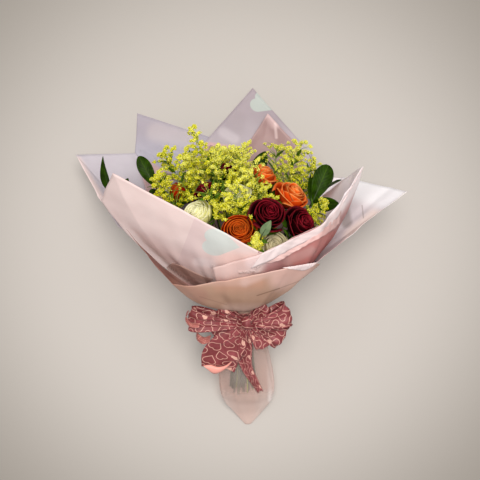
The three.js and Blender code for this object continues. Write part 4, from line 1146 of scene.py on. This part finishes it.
# The sheets of film.
film = {
    # mm: its thickness, from layer to layer at the neck, the room kept under an outer sheet, a column's
    # width, and how much higher at the neck each inner sheet starts to bow; then the outermost layer that
    # reaches the surface, and the rows above the neck
    "thickness": 0.3, "layer": 1.7, "room": 5.0, "column": 3.4, "stagger": 1.2, "outerLayer": 4, "rows": 56,
}
sheets = {
    # outermost first. Its layer in the wrap; its belly, which is how far it bows out as a share of its
    # height, in all or at each corner; and the corners of its upper edge
    "collar": (5, (0.06, 0.07, 0.07, 0.07, 0.06, 0.035, 0.02), [
        (-162, -45, 152), (-96, -100, 96), (-65, -108, 98), (-7, -118, 116), (58, -116, 130), (96, -96, 127),
        (105, -78, 115)]),
    "left_wing": (4, (0.0, 0.0, 0.03, 0.1, 0.13, 0.13), [
        (-180, 10, 128), (-207, 50, 150), (-250, 110, 196), (-163, 164, 175), (-74, 162, 171),
        (-8, 156, 155)]),
    "right_wing": (4, (0.06, 0.0, -0.01, -0.01, 0.02, 0.04), [
        (20, 158, 150), (150, 156, 140), (233, 20, 178), (176, -10, 147), (101, -80, 119), (72, -94, 100)]),
    "back_left": (3, 0.12, [(-170, 146, 126), (-162, 184, 233), (-54, 174, 200), (20, 162, 165)]),
    "front_right": (3, 0.1, [
        (-41, -112, 128), (25, -126, 158), (63, -110, 171), (101, -96, 184), (129, -70, 203), (162, -30, 240),
        (152, 5, 214), (139, 26, 192), (130, 44, 172), (116, 60, 152)]),
    "back_tall": (2, 0.12, [
        (-120, 120, 130), (-54, 168, 197), (15, 197, 269), (120, 153, 160), (140, 95, 120)]),
    "front_left": (2, 0.08, [
        (-160, 60, 130), (-196, -30, 189), (-172, -70, 248), (25, -124, 157), (76, -108, 118)]),
    "back_inner": (1, 0.12, [
        (-90, 110, 140), (-50, 160, 190), (0, 157, 181), (38, 178, 235), (88, 155, 186), (100, 120, 138)]),
}
pleats = {
    # the sharp pleats of each sheet: place along its rim, half width along the rim, depth in mm at the rim
    "collar": [(0.35, 0.05, 1.5), (0.52, 0.03, -1.2), (0.7, 0.05, 1.6), (0.86, 0.04, -1.5)],
    "left_wing": [(0.15, 0.03, 2.0), (0.34, 0.05, -2.0), (0.62, 0.04, 1.5)],
    "right_wing": [(0.5, 0.03, 2.0), (0.66, 0.035, -2.0), (0.78, 0.03, 1.6), (0.9, 0.03, -1.4)],
    "front_right": [
        (0.16, 0.02, 1.5), (0.3, 0.03, -1.8), (0.42, 0.03, 2.0), (0.55, 0.03, -2.0), (0.68, 0.02, 1.6)],
    "back_tall": [(0.3, 0.03, 1.4), (0.44, 0.03, -1.6), (0.66, 0.03, 1.6)],
    "back_inner": [(0.3, 0.03, 1.4), (0.56, 0.04, -1.6), (0.75, 0.03, 1.2)],
    "front_left": [(0.75, 0.03, -1.0)],
    "back_left": [(0.4, 0.04, 1.5), (0.7, 0.04, -1.5)],
}
tableStep, tableTop = 3.0, 290.0  # mm of height
angleSteps, heightSteps = np.radians(np.arange(-180, 181, 1.0)), np.arange(neckLow, tableTop, tableStep)


# Soft gathers that run up from the neck: waves round the axis, the same for every sheet so that they nest.
def gathers(angle, z):
    rise = np.clip((z - neckHigh) / 60, 0, 1)
    fade = np.clip((170 - z) / 110, 0.12, 1)
    folds = (1.1 * np.sin(19 * angle + 1.3 * np.sin(5 * angle)) + 0.8 * np.sin(31 * angle + 2.0)
             + 1.6 * np.sin(7 * angle + 0.012 * z + 0.6))
    creases = 0.7 * np.sin(0.09 * z + 11 * angle) * np.sin(0.05 * z - 4 * angle + 1.0)
    return rise * (fade * folds + creases)


# A sheet's upper edge, a chain of straight edges, in steps of one column, and its belly at each step.
def rimPoints(belly, corners):
    corners = np.array(corners, float)
    belly = belly if isinstance(belly, tuple) else (belly,) * len(corners)
    steps = np.linalg.norm(np.diff(corners, axis=0), axis=1)
    counts = np.maximum(2, np.round(steps / film["column"])).astype(int)
    place = [k + np.linspace(0, 1, n, endpoint=False) for k, n in enumerate(counts)]
    place = np.concatenate([*place, [len(counts)]])
    known = np.arange(len(corners))
    edge = np.stack([np.interp(place, known, corners[:, axis]) for axis in range(3)], -1)
    return edge, np.interp(place, known, belly)[:, None]


# A sheet: straight up the neck, then bowed from there to its rim as a parabola, with its pleats and gathers.
# It stays within the sheets outside it, and lies flat where it meets the surface.
def sheetGrid(name, layer, belly, corners, outer):
    edge, belly = rimPoints(belly, corners)
    out = unit(edge * [1, 1, 0])
    neck = neckRadius + layer * film["layer"]
    top = neckHigh + (film["outerLayer"] + 1 - layer) * film["stagger"]
    high = out * neck + [0, 0, top]
    chord = edge - high
    span = np.linalg.norm(chord, axis=1, keepdims=True)
    bow = unit(out - chord * (out * chord).sum(1, keepdims=True) / span**2)
    t = np.linspace(0, 1, film["rows"])[:, None, None] ** 1.15
    upper = high + chord * t + bow * (belly * span) * 4 * t * (1 - t)
    lower = out * neck + np.array([0, 0, 1.0]) * np.linspace(neckLow, top, 4)[:-1, None, None]
    grid = np.concatenate([lower, upper])
    angle = np.arctan2(out[:, 0], -out[:, 1])[None] + 0 * grid[..., 0]
    rise = np.concatenate([np.zeros(len(lower)), np.linspace(0, 1, film["rows"])])[:, None]
    place = np.linspace(0, 1, grid.shape[1])[None]
    ridge = rise * sum(deep * np.clip(1 - np.abs(place - at) / half, 0, 1) for at, half, deep in pleats[name])
    radius = np.hypot(grid[..., 0], grid[..., 1]) + gathers(angle, grid[..., 2]) + ridge
    for table in outer:
        radius = np.minimum(radius, readTable(table, angle, grid[..., 2]) - film["room"])
    radius = np.maximum(radius, neck)
    grid[..., :2] = out[None, :, :2] * radius[..., None]
    lift = (0.45 + (film["outerLayer"] - layer) * film["layer"]) / math.cos(tilt)
    grid[..., 1] = np.minimum(grid[..., 1], surfaceY(grid[..., 2]) - lift)
    return grid, angle[0], radius


# A sheet's radius by angle and height, for the sheets inside it: above its rim they may swing out at a slope,
# and beside it they are free.
def makeTable(angle, radius, z):
    order = np.argsort(angle)
    angle, radius, z = angle[order], radius[:, order], z[:, order]
    table = np.full((len(angleSteps), len(heightSteps)), 1e3)
    for k, a in enumerate(angleSteps):
        if a < angle[0] or a > angle[-1]:
            continue
        zs = np.maximum.accumulate([np.interp(a, angle, row) for row in z])
        rs = [np.interp(a, angle, row) for row in radius]
        over = np.maximum(0, heightSteps - zs[-1])
        table[k] = np.interp(heightSteps, zs, rs) + 3 * over
    return table


def readTable(table, angle, z):  # between the table's four nearest values
    a = np.clip(np.degrees(angle) + 180, 0, len(angleSteps) - 1.001)
    h = np.clip((z - neckLow) / tableStep, 0, len(heightSteps) - 1.001)
    i, j = a.astype(int), h.astype(int)
    fa, fh = a - i, h - j
    low = table[i, j] * (1 - fh) + table[i, j + 1] * fh
    high = table[i + 1, j] * (1 - fh) + table[i + 1, j + 1] * fh
    return low * (1 - fa) + high * fa


filmColours = {
    # lighter and darker clouds
    "pink": ("#f0ddda", "#ead3d0"), "lavender": ("#ece5ea", "#ddd5dc"), "rose": ("#d3a5a4", "#c79696"),
    "peach": ("#caa38d", "#c09880"), "mauve": ("#bbb0b8", "#afa4ad"), "white": ("#f2e4e4", "#ebd8d8"),
    "grey": ("#c4c1cf", "#b7b4c3"), "dusk": ("#b09392", "#a48685"), "blush": ("#e4c4c0", "#dcb4b0"),
    "haze": ("#cec8d1", "#c3bdc6"), "lilac": ("#cdb9ba", "#c4afb1"),
}
filmLooks = {
    # for each sheet its outer and inner colours, and what is seen on it from the front, in mm
    # (as in filmMaterial), where the tints include painted shade and painted light
    "collar": {
        "colours": ("peach", "dusk"),
        "tints": [
            ((-26.7, -66), (26.7, -63), 3, 16, "#dca890", 0.6),
            # the left tip painted darker: painted shade
            ((-170, 18), (-105, -58), 6, 10, "#a06c60", 0.8),
            ((-96, -65), (-59, -83), 4, 14, "#bb8c7c", 0.7), ((60, -56), (96, -41), 6, 22, "#edc6bc", 0.85),
            # a crease painted as a thin dark line of shade
            ((25.2, -82.5), (58.4, -71.8), 0.2, 1.0, "#8a6450", 0.7),
            # the low part painted lighter: painted light where it curves away
            ((-20, -104), (30, -104), 2, 12, "#dcbcac", 0.85),
            # two more creases painted as thin dark lines of shade
            ((58.4, -71.8), (91.9, -59.3), 0.2, 0.9, "#93705e", 0.4),
            ((-60, -84), (-20, -96), 0.2, 1.2, "#a07668", 0.4),
            ((-74, -60), (7, -62), 2, 9, "#dfb9ab", 0.75), ((7, -62), (67, -37), 2, 9, "#e6c4ba", 0.75)],
    },
    "left_wing": {"colours": ("lilac", "haze"), "tints": [((-240, 118), (-205, 60), 1, 8, "#f3dcd8", 0.7)]},
    "right_wing": {
        "colours": ("blush", "lavender"),
        # painted light and shade: the inner face painted whiter where lit and grey where shaded near the
        # front sheet, a lit patch pale pink, a notch crease as a dark line, and a painted highlight along the
        # lower edge
        "tints": [
            ((178, 82), (222.5, 66), 14, 22, "#fcfbff", 0.9), ((151, 58), (158, 26), 4, 8, "#a59896", 0.75),
            ((168, 4), (200, 30), 7, 14, "#fff0ea", 0.9), ((181, 51), (183, 33), 0.2, 1.4, "#a99c9c", 0.6),
            ((120, -30), (245, 70), 0.8, 1.0, "#fffafa", 0.9)],
    },
    "back_left": {
        "colours": ("grey", "grey"), "clear": (0.05, 0.3, 110.0, 170.0),
        "tints": [
            ((-151.3, 100), (-110, 78), 18, 8, "#d6b0ac", 0.8),
            ((-125, 160), (-80, 150), 6, 14, "#d4cfd6", 0.7)],
    },
    "front_right": {
        "colours": ("rose", "white"), "soft": 0.45,
        "tints": [
            ((-60, -40), (14, -42), 15, 14, "#ecd5d0", 0.95), ((84, -13), (106, -6), 4, 8, "#bd8a8c", 0.6),
            # the first: painted shade, deeper pink in the pocket under the lower lip
            ((89.0, -26.7), (140, 0), 10, 9, "#e09a95", 0.85), ((20, -32), (64, -6), 6, 12, "#f7e6e6", 0.8),
            ((70, -32), (106, -16), 3, 7, "#e2bab6", 0.6), ((130, 34), (182, 108), 9, 10, "#fff8fa", 0.95)],
        "crumples": [((23.0, -40.8), (46.0, -25.2), 5.0), ((-1.5, -48.2), (20.8, -46.7), 3.5)],
    },
    "back_tall": {
        # mark: the heart print drawn darker than on the front sheet, as painted shade
        "colours": ("mauve", "mauve"), "mark": "#c6d0cc", "clear": (0.0, 0.12, 130.0, 190.0),
        "hearts": [((48.2, 192.8), (22.7, 209.8), 16.0)],
        "tints": [
            ((-44, 136), (-10, 130), 7, 4, "#d2aaab", 0.85), ((-3.0, 181), (-6, 134), 4, 12, "#b0a5ac", 0.5),
            ((-25, 160), (-8, 150), 3, 8, "#cdc4cb", 0.6)],
    },
    "front_left": {
        "colours": ("pink", "rose"), "hearts": [((-0.3, -11.1), (-49.2, -0.4), 20.0)],
        "folds": [((-69.7, 28.2), (-93.9, -33.8), 52.0, "#e2cbcb", 0.7)],
        "tints": [
            # a painted highlight: the lighter sheen below the heart
            ((-63.8, -32.6), (-40.0, -35.6), 2, 8, "#f7e9ea", 0.7),
            ((-20, -30), (20, -40), 8, 18, "#fbe0da", 0.7)],
        "crumples": [
            ((-40.8, -39.4), (-25.2, -46.0), 3.6), ((-25.2, -46.0), (-6.7, -54.1), 4.4),
            ((-6.7, -50), (20, -46), 3.5)],
    },
    "back_inner": {
        "colours": ("dusk", "dusk"),
        "tints": [
            ((43, 186), (52, 172), 2, 9, "#dcbfbf", 0.7), ((52, 172), (54, 152), 0.5, 3, "#e6cfce", 0.6)],
    },
}
sheetShapes = {}


# A sheet, with one colour outside and one inside. Its grid and the ways out from it are kept for the folds.
def makeSheet(name, layer, belly, corners, outer):
    grid, angle, radius = sheetGrid(name, layer, belly, corners, outer)
    outer.append(makeTable(angle, radius, grid[..., 2]))
    points, faces, _ = thinBlades(grid, film["thickness"])
    look = dict(filmLooks[name])
    colours = look.pop("colours")
    outside, inside = (filmMaterial(f"floralFilm_{name}_{side}", *filmColours[colour], **look)
                       for side, colour in zip(("outside", "inside"), colours))
    above, below = np.split(points, 2)
    normal = above - below
    facesOut = (normal[:, :2] * above[:, :2]).sum() > 0
    sheetShapes[name] = (grid.reshape(-1, 3), unit(normal) * (1 if facesOut else -1))
    first, second = (outside, inside) if facesOut else (inside, outside)
    count = (grid.shape[0] - 1) * (grid.shape[1] - 1)
    parts = MeshParts()
    parts.add(points, [faces[:count], faces[2 * count :], faces[count : 2 * count]], [first, first, second],
              front=onPicture(points))
    return parts.build("film_" + name, ["paper_" + name])


onFront = {"before": 60.0, "facing": 0.12, "nearest": 6}  # what counts as a sheet's front: y in mm, cosine


# Points on the front of a sheet where they are seen from the front, moved out from it: the mean of the six
# nearest points of its grid, weighted by nearness, gives the depth and the way out.
def onSheet(name, seen, out):
    points, normal = sheetShapes[name]
    front = (points[:, 1] < onFront["before"]) & (normal @ eyeBack > onFront["facing"])
    points, normal = points[front], normal[front]
    flat = seen.reshape(-1, 2)
    away = ((flat[:, None] - onPicture(points)[None]) ** 2).sum(-1)
    near = np.argpartition(away, onFront["nearest"], axis=1)[:, : onFront["nearest"]]
    weight = 1 / (np.take_along_axis(away, near, 1) + 1.0)
    weight /= weight.sum(1, keepdims=True)
    depth = (points[near, 1] * weight).sum(1)
    way = unit((normal[near] * weight[..., None]).sum(1))
    place = fromPicture(flat, depth) + way * np.broadcast_to(out, seen.shape[:-1]).reshape(-1, 1)
    return place.reshape(*seen.shape[:-1], 3)


outerTables = []
for name, sheet in sheets.items():
    makeSheet(name, *sheet, outerTables)
print("film sheets made:", len(sheets))

# Folds of film that lie on the front sheets, as seen from the front, in mm.
filmFolds = {
    # sheet, upper edge, lower edge, how far out it stands at its upper and lower edge, ripple, colour
    "rim_band": (
        "front_right",
        [(32.6, -19.3), (53.4, -10.4), (75.6, 1.5), (118.6, 21.5), (148.3, 53.4), (166.1, 81.6),
         (182.4, 109)],
        [(16, -42), (50, -26), (84, -7), (122, 12), (144, 37), (160, 72), (181, 105)],
        (0.8, 1.8), 0.5, "white"),
    "lower_lip": (
        "front_right",
        [(33, -33), (60.0, -18.8), (89.0, -4.0), (118.6, 14.8), (137.9, 34), (149.3, 52)],
        [(44.5, -34.5), (66.7, -21.5), (89, -8.9), (115.7, 5.9), (137.9, 20.8), (149.8, 38.6)],
        (0.4, 4.5), 0.5, "blush"),
    "white_corner": (
        "collar",
        [(62, -40.0), (80, -37.5), (98, -34.5), (114.2, -31.9)],
        [(70, -41.0), (80, -42.0), (96, -43.0), (114.0, -32.6)],
        (1.2, 2.0), 0.2, "white"),
}
foldCrumples = {"rim_band": [((62, -3), (100, 14), 6.0)]}
foldGrid = {"columns": 90, "rows": 9, "ends": 0.12, "clear": 0.5}


# Places between two smooth edges as seen from the front: straight across from the upper one to the lower.
def between(upper, lower, columns, rows):
    v = np.linspace(0, 1, rows)[:, None, None]
    return smoothLine(upper, columns) * (1 - v) + smoothLine(lower, columns) * v


def layOnSheet(name, sheet, seen, out, material):
    points, faces, _ = thinBlades(onSheet(sheet, seen, out), film["thickness"])
    parts = MeshParts()
    parts.add(points, faces, material, front=onPicture(points))
    return parts.build("film_" + name, ["paper_" + sheet])


# A fold: it lies on the sheet at its ends and stands out between them, more so towards one edge, with a
# ripple that is a product of sines along it and a finer sine that slants across.
def makeFold(name, sheet, upper, lower, stand, ripple, colour):
    columns, rows = foldGrid["columns"], foldGrid["rows"]
    t, v = np.linspace(0, 1, columns)[None], np.linspace(0, 1, rows)[:, None]
    ends = np.clip(np.minimum(t, 1 - t) / foldGrid["ends"], 0, 1)
    waves = np.sin(43 * t + 5 * v) * np.sin(17 * t + 2) + 0.5 * np.sin(90 * t - 7 * v)
    out = stand[0] + (stand[1] - stand[0]) * v * ends + ripple * ends * waves
    material = filmMaterial("floralFilm_" + name, *filmColours[colour], crumples=foldCrumples.get(name, ()))
    seen = between(upper, lower, columns, rows)
    layOnSheet(name, sheet, seen, np.maximum(out, foldGrid["clear"]), material)


# The curled lip low on the left, where the panel bulges away from the collar: a hollow with painted shade,
# coloured darker than the panel and darker still along its upper part.
curl = {
    "upper": [
        (-108.3, -39.5), (-97.9, -33.6), (-81.6, -39.5), (-65.3, -47.7), (-51.9, -53.6), (-40.0, -56.4)],
    "lower": [
        (-107.5, -41.5), (-100.1, -57.8), (-86.0, -66.7), (-69.7, -69.0), (-53.4, -63.8), (-40.0, -57.8)],
    "columns": 70, "rows": 15, "stand": (1.2, 1.6), "colours": ("#cfaea6", "#c4a29a"),
    # painted shade: a darker band along the upper part, and a dark line at the gap below
    "tints": [
        ((-100, -38), (-50, -57), 5.5, 2.0, "#b6948a", 0.92),
        ((-100, -57), (-70, -68), 0.5, 3.0, "#c08a84", 0.8)],
}


# It stands out by a sine along it, which grows from its upper edge to its lower one.
def makeCurl():
    t, v = np.linspace(0, 1, curl["columns"])[None], np.linspace(0, 1, curl["rows"])[:, None]
    out = curl["stand"][0] + curl["stand"][1] * np.sin(math.pi * t) * v
    material = filmMaterial("floralFilm_curl", *curl["colours"], tints=curl["tints"])
    seen = between(curl["upper"], curl["lower"], curl["columns"], curl["rows"])
    layOnSheet("curl", "front_left", seen, out, material)


for name, fold in filmFolds.items():
    makeFold(name, *fold)
makeCurl()
print("folds made:", len(filmFolds) + 1)

# The sheet round the stems.
stemWrap = {
    # height, middle x and y, half width, half depth; the first two take theirs from the neck
    "ovals": [
        (3, 0, 0, 0, 0), (-12, 0, 0, 0, 0), (-45, 1, 0, 30, 24), (-95, 3, 0, 39, 30), (-140, 6, 1, 43, 32),
        (-170, 7, 2, 38, 18), (-196, 8, 3, 22, 7), (-219, 8, 2, 5, 1.6)],
    "rows": 70, "sides": 120, "thickness": 0.3, "clear": 0.45,
    "colours": ("#eadfda", "#e0d3cd"), "light": (0.12, 0.7, -250.0, -216.0), "soft": 0.3,
    # the second tint: a painted highlight along the fold on the right
    "tints": [((6, -276), (8, -236), 8, 26, "#dcc2b8", 0.6), ((46, -165), (47, -236), 3, 5, "#ffffff", 0.9)],
}


# Ovals along a line that runs down the stems: each point is its oval's cosine and sine, times
# slow folds that grow from the neck down, and lies above the surface. An inner wall, and a rim
# at the neck and at the point, close it.
def makeStemWrap():
    rows, sides = stemWrap["rows"], stemWrap["sides"]
    ovals = np.array(stemWrap["ovals"], float)
    ovals[:2, 3:] = neckRadius + stemWrap["clear"]
    ovals[2:, 3:] -= stemWrap["clear"]
    z, x, y, wide, deep = smoothLine(ovals, rows).T[..., None]
    turn = np.arange(sides)[None] * 2 * math.pi / sides
    grown = np.clip((neckLow - z) / 60, 0, 1)
    fold = 1 + grown * (0.018 * np.sin(9 * turn + 0.4) + 0.012 * np.sin(17 * turn + 0.02 * z))
    grid = np.stack([x + wide * np.cos(turn) * fold, y + deep * np.sin(turn) * fold, z + 0 * turn], -1)
    grid[..., 1] = np.minimum(grid[..., 1], surfaceY(grid[..., 2]) - 0.4)
    centre = np.stack([x, y, z], -1)
    inner = grid + unit((centre - grid) * [1, 1, 0]) * stemWrap["thickness"]
    count = rows * sides
    wall, now = ringQuads(rows, sides), np.arange(sides)
    after = (now + 1) % sides
    rim = np.stack([now, after, after + count, now + count], -1)
    faces = np.concatenate([wall[:, ::-1], wall + count, rim, (rim + count - sides)[:, ::-1]])
    points = np.concatenate([grid.reshape(-1, 3), inner.reshape(-1, 3)])
    material = filmMaterial("floralFilm_stems", *stemWrap["colours"], clear=stemWrap["light"],
                            soft=stemWrap["soft"], tints=stemWrap["tints"])
    parts = MeshParts()
    parts.add(points, faces, material, front=onPicture(points))
    return parts.build("film_stems", ["paper_stem_wrap"])


makeStemWrap()
print("stem wrap made")

# Ribbon.
ribbon = {
    # mm, the knot's three half widths among them; and where along its print each loop and each tail starts
    "thickness": 0.35, "flatWidth": 42.0, "columns": 17, "steps": 48, "knotWidth": 9.0, "pleat": 2.8,
    "knot": (12.0, 9.3, 11.0), "knotOut": 10.9, "knotRows": 18, "knotColumns": 33,
    "loopStart": 37.0, "loopRuffle": 2.0, "tailStart": (150.0, 61.0), "tailRuffle": 1.3, "tailPleat": 2.4,
}
bandForm = {
    # the solid's sides and the layers under it; mm: room over them, width, middle, how far out
    # it lies, ridges, creases, and the print's width on it
    "sides": 16, "layers": 5, "room": 0.85, "width": 16.0, "middle": -2.5, "out": 0.7, "ridge": 0.5,
    "crease": 0.35, "print": 40.0, "rows": 121, "columns": 21,
}
bandInside = neckRadius + bandForm["layers"] * film["layer"] + bandForm["room"]
bandInside /= math.cos(math.pi / bandForm["sides"])
knotPlace = np.array([6, -(bandInside + ribbon["knotOut"]), -4])
loops = [
    # direction, reach, depth, width, forward
    ((-1, 0, 0.14), 82, 7, 40, 6), ((-0.86, 0, -0.42), 50, 5, 36, -3), ((1, 0, 0.34), 61, 7, 42, 6),
    ((0.82, 0, -0.44), 57, 5, 42, -3), ((-0.62, 0, 0.3), 44, 4, 30, 1), ((0.4, 0, 0.42), 36, 4, 28, 1),
    ((0.52, 0, -0.72), 46, 4, 34, -1),
]
tails = [
    # middle line, widths along it, how deep its end is cut in
    ([(-1, -43, -3), (-14, -43, -30), (-31, -40, -60), (-37, -37, -86)], (12, 46, 58, 50), 7.0),
    ([(5, -43, -4), (1, -41, -42), (6, -38, -84), (26, -36, -130)], (12, 25, 17, 9), 4.0),
]
# Edges of the bow that curl up, and the tail's end that turns its back, as seen from the front, in mm.
curls = [
    # line, width, depth
    ([(-77, -107), (-80, -113), (-79, -120), (-72, -126), (-60, -126.5)], 8.0, -60.0),
    ([(-42, -128), (-54, -127), (-63.5, -134), (-63, -143), (-54, -149), (-44, -146)], 13.0, -46.0),
]
curlForm = {"steps": 44, "back": 1.83, "side": (0.1, 0.93, 0.35), "start": 77.0, "ruffle": 0.4, "turned": 0.3}
turnedEnd = {
    "upper": [(-55, -186), (-44, -185), (-33, -188), (-22, -186), (-13, -180)],
    "lower": [(-49, -191), (-40, -198), (-31, -197), (-20, -190), (-12, -181)],
    "columns": 30, "rows": 6, "depth": -42.5, "bulge": 2.5,
}


# A strip of ribbon: for u across, its middle line plus u times its width along its side, moved
# along its normal by sine pleats that fade from the knot and by a slow ruffle. Its end is cut
# in by the notch. Returns its length.
def addStrip(parts, centre, side, width, pleat, start, ruffle, notch=0.0, turned=0.0):
    rows, columns = len(centre), ribbon["columns"]
    u = np.linspace(-0.5, 0.5, columns)[None, :]
    along = np.gradient(centre, axis=0)
    normal = unit(np.cross(along, side))
    ripple = pleat[:, None] * np.sin(u * 6 * math.pi + 0.5)
    ripple = ripple + ruffle * np.sin(u * 7 + np.linspace(0, 9, rows)[:, None])
    across = (width[:, None] * u)[..., None] * side[:, None]
    grid = centre[:, None] + across + ripple[..., None] * normal[:, None]
    late = np.clip(np.linspace(-3, 1, rows), 0, 1)[:, None]
    grid = grid + (notch * (np.abs(2 * u) - 0.6) * late**2)[..., None] * unit(along)[:, None]
    points, faces, above = thinBlades(grid, ribbon["thickness"])
    length = np.r_[0, np.cumsum(np.linalg.norm(np.diff(centre, axis=0), axis=1))]
    place = (u * ribbon["flatWidth"] + 0 * length[:, None], length[:, None] + start + 0 * u)
    uv = np.stack([perBlade(one[None], rows, columns) for one in place], -1)
    parts.add(points, faces, satin, ribbon=uv, under=turned * above)
    return float(length[-1])


# The loops: each runs out from the knot and back as a rounded sine, and sways to the front and the back by a
# sine of twice the turn. It is narrow and pleated at the knot, and wide and smooth at its far end.
def addLoops(parts):
    v = np.linspace(0, 1, ribbon["steps"])
    turn, swell = math.pi * (0.01 + 0.98 * v), np.sin(math.pi * v) ** 0.8
    used = 0
    for k, (way, reach, depth, wide, front) in enumerate(loops):
        along = unit(way)
        side = unit(np.cross([0, 1, 0], along))
        centre = knotPlace + along * (3 + reach * np.sin(turn) ** 0.8)[:, None]
        centre[:, 1] += -front - depth * np.sin(2 * turn)
        width = ribbon["knotWidth"] + (wide - ribbon["knotWidth"]) * swell
        pleat = ribbon["pleat"] * (1 - 0.75 * swell)
        side, start = np.broadcast_to(side, centre.shape), ribbon["loopStart"] * k
        used += addStrip(parts, centre, side, width, pleat, start, ribbon["loopRuffle"])
    return used


# The tails: along their middle lines, pleated at the knot, each with its end cut in.
def addTails(parts):
    steps = ribbon["steps"]
    pleat = ribbon["tailPleat"] * (1 - np.linspace(0, 1, steps)) ** 1.5
    first, step = ribbon["tailStart"]
    used = 0
    for k, (points, widths, notch) in enumerate(tails):
        centre = smoothLine(points, steps)
        side = unit(np.cross(np.gradient(centre, axis=0), [0, 1, 0]))
        width = smoothLine(np.array(widths)[:, None], steps)[:, 0]
        used += addStrip(parts, centre, side, width, pleat, first + step * k, ribbon["tailRuffle"], notch)
    return used


# The curled edges: narrow strips seen edge-on, which go back a little along their length.
def addCurls(parts):
    steps = curlForm["steps"]
    for points, wide, depth in curls:
        centre = fromPicture(smoothLine(points, steps), depth + np.linspace(0, curlForm["back"], steps))
        side = np.broadcast_to(curlForm["side"], centre.shape)
        addStrip(parts, centre, side, np.full(steps, wide), np.zeros(steps), curlForm["start"],
                 curlForm["ruffle"], turned=curlForm["turned"])


# The tail's turned end: a patch between two edges, bulged towards the front by a sine across it.
def addTurnedEnd(parts):
    columns, rows = turnedEnd["columns"], turnedEnd["rows"]
    bulge = turnedEnd["bulge"] * np.sin(math.pi * np.linspace(0, 1, rows))[:, None]
    seen = between(turnedEnd["upper"], turnedEnd["lower"], columns, rows)
    grid = fromPicture(seen, turnedEnd["depth"] - bulge + np.zeros(columns))
    points, faces, _ = thinBlades(grid, ribbon["thickness"])
    parts.add(points, faces, satin, ribbon=points[:, ::2], under=1.0)


# The knot: a ball drawn out to the ribbon's three half widths, with seven gathers round it.
def addKnot(parts):
    rows, columns = ribbon["knotRows"], ribbon["knotColumns"]
    t, s = np.linspace(0, math.pi, rows)[:, None], np.linspace(0, 2 * math.pi, columns)[None]
    bulge = 1 + 0.07 * np.sin(7 * s + 1) * np.sin(t)
    ball = np.stack([np.sin(t) * np.cos(s) * bulge, np.sin(t) * np.sin(s) * bulge, np.cos(t) + 0 * s], -1)
    uv = np.stack([(s * 7 + 0 * t).ravel(), (t * 10 + 0 * s).ravel()], -1)
    points = (knotPlace + ball * ribbon["knot"]).reshape(-1, 3)
    parts.add(points, gridQuads(rows, columns)[:, ::-1], satin, ribbon=uv, under=0.0)


def makeBow():
    parts = MeshParts()
    used = addLoops(parts) + addTails(parts)
    addCurls(parts)
    addTurnedEnd(parts)
    addKnot(parts)
    return parts.build("ribbon_bow_satin", ["ribbon_bow"]), used


# The band: a circle round the neck, its radius raised by two ridges across its width and by
# creases that wander.
def makeBand():
    t = np.linspace(0, 2 * math.pi, bandForm["rows"])[:, None]
    u = np.linspace(-0.5, 0.5, bandForm["columns"])[None]
    creases = bandForm["crease"] * np.sin(5 * math.pi * u + 2 * np.sin(3 * t))
    r = bandInside + bandForm["out"] + bandForm["ridge"] * np.cos(4 * math.pi * u) + creases
    z = bandForm["width"] * u + bandForm["middle"] + 0 * t
    grid = np.stack([r * np.cos(t), r * np.sin(t), z], -1)
    points, faces, _ = thinBlades(grid, ribbon["thickness"])
    place = (u * bandForm["print"] + 0 * t, t * bandInside + 0 * u)
    uv = np.stack([perBlade(one[None], *grid.shape[:2]) for one in place], -1)
    parts = MeshParts()
    parts.add(points, faces, satin, ribbon=uv, under=0.0)
    return parts.build("ribbon_band_satin", ["ribbon_band"])


bow, bowLength = makeBow()
band = makeBand()

# Floor and light.
studio = {
    # the floor's size, its middle and where its painted shade darkens it are in metres; edge is the colour of
    # that painted shade
    "floor": "#a9a4a0", "edge": "#7a756f", "size": 6.0, "middle": (0.0, 0.02, 0.0), "darkens": (0.24, 0.6),
    "sun": (0.05, -0.8, 0.57), "sunStrength": 3.7, "sunAngle": 34.0, "sunColour": "#fffbf4",
    "room": "#f1f0f1", "roomStrength": 0.66,
}


# Matt backdrop paper, with painted shade that darkens it away from the bouquet, where the light falls off.
def makeFloor():
    material, tree = newMaterial("paperBackdrop")
    place = addNode(tree, "TexCoord")
    centre = addNode(tree, "VectorMath", [(place, "Object"), studio["middle"]], operation="DISTANCE")
    away = addNode(tree, "MapRange", [centre, *studio["darkens"], 0.0, 1.0], interpolation_type="SMOOTHSTEP")
    near, far = toLinear(studio["floor"]), toLinear(studio["edge"])
    colour = addNode(tree, "Mix", {0: away, 6: near, 7: far}, data_type="RGBA")
    matt = addNode(tree, "BsdfPrincipled", {"Base Color": colour, "Roughness": 0.9})
    addNode(tree, "OutputMaterial", [matt])
    mesh = bpy.data.meshes.new("floor")
    h = studio["size"] / 2
    mesh.from_pydata([(-h, -h, 0), (h, -h, 0), (h, h, 0), (-h, h, 0)], [], [(0, 1, 2, 3)])
    mesh.materials.append(material)
    floor = bpy.data.objects.new("floor", mesh)
    bpy.context.scene.collection.objects.link(floor)


# Daylight from the front and above, and an even light all round.
def makeLamps():
    data = bpy.data.lights.new("sunThroughWindow", "SUN")
    data.energy = studio["sunStrength"]
    data.angle = math.radians(studio["sunAngle"])
    data.color = toLinear(studio["sunColour"])[:3]
    lamp = bpy.data.objects.new("sunThroughWindow", data)
    towards = Vector(turnToRow(np.array(studio["sun"], float)))
    lamp.rotation_euler = (-towards).to_track_quat("-Z", "Y").to_euler()
    bpy.context.scene.collection.objects.link(lamp)
    world = bpy.data.worlds.new("softRoom")
    world.use_nodes = True
    background = world.node_tree.nodes["Background"]
    background.inputs["Color"].default_value = toLinear(studio["room"])
    background.inputs["Strength"].default_value = studio["roomStrength"]
    bpy.context.scene.world = world
    bpy.context.scene.view_settings.view_transform = "Standard"


makeFloor()
makeLamps()

print("all made")
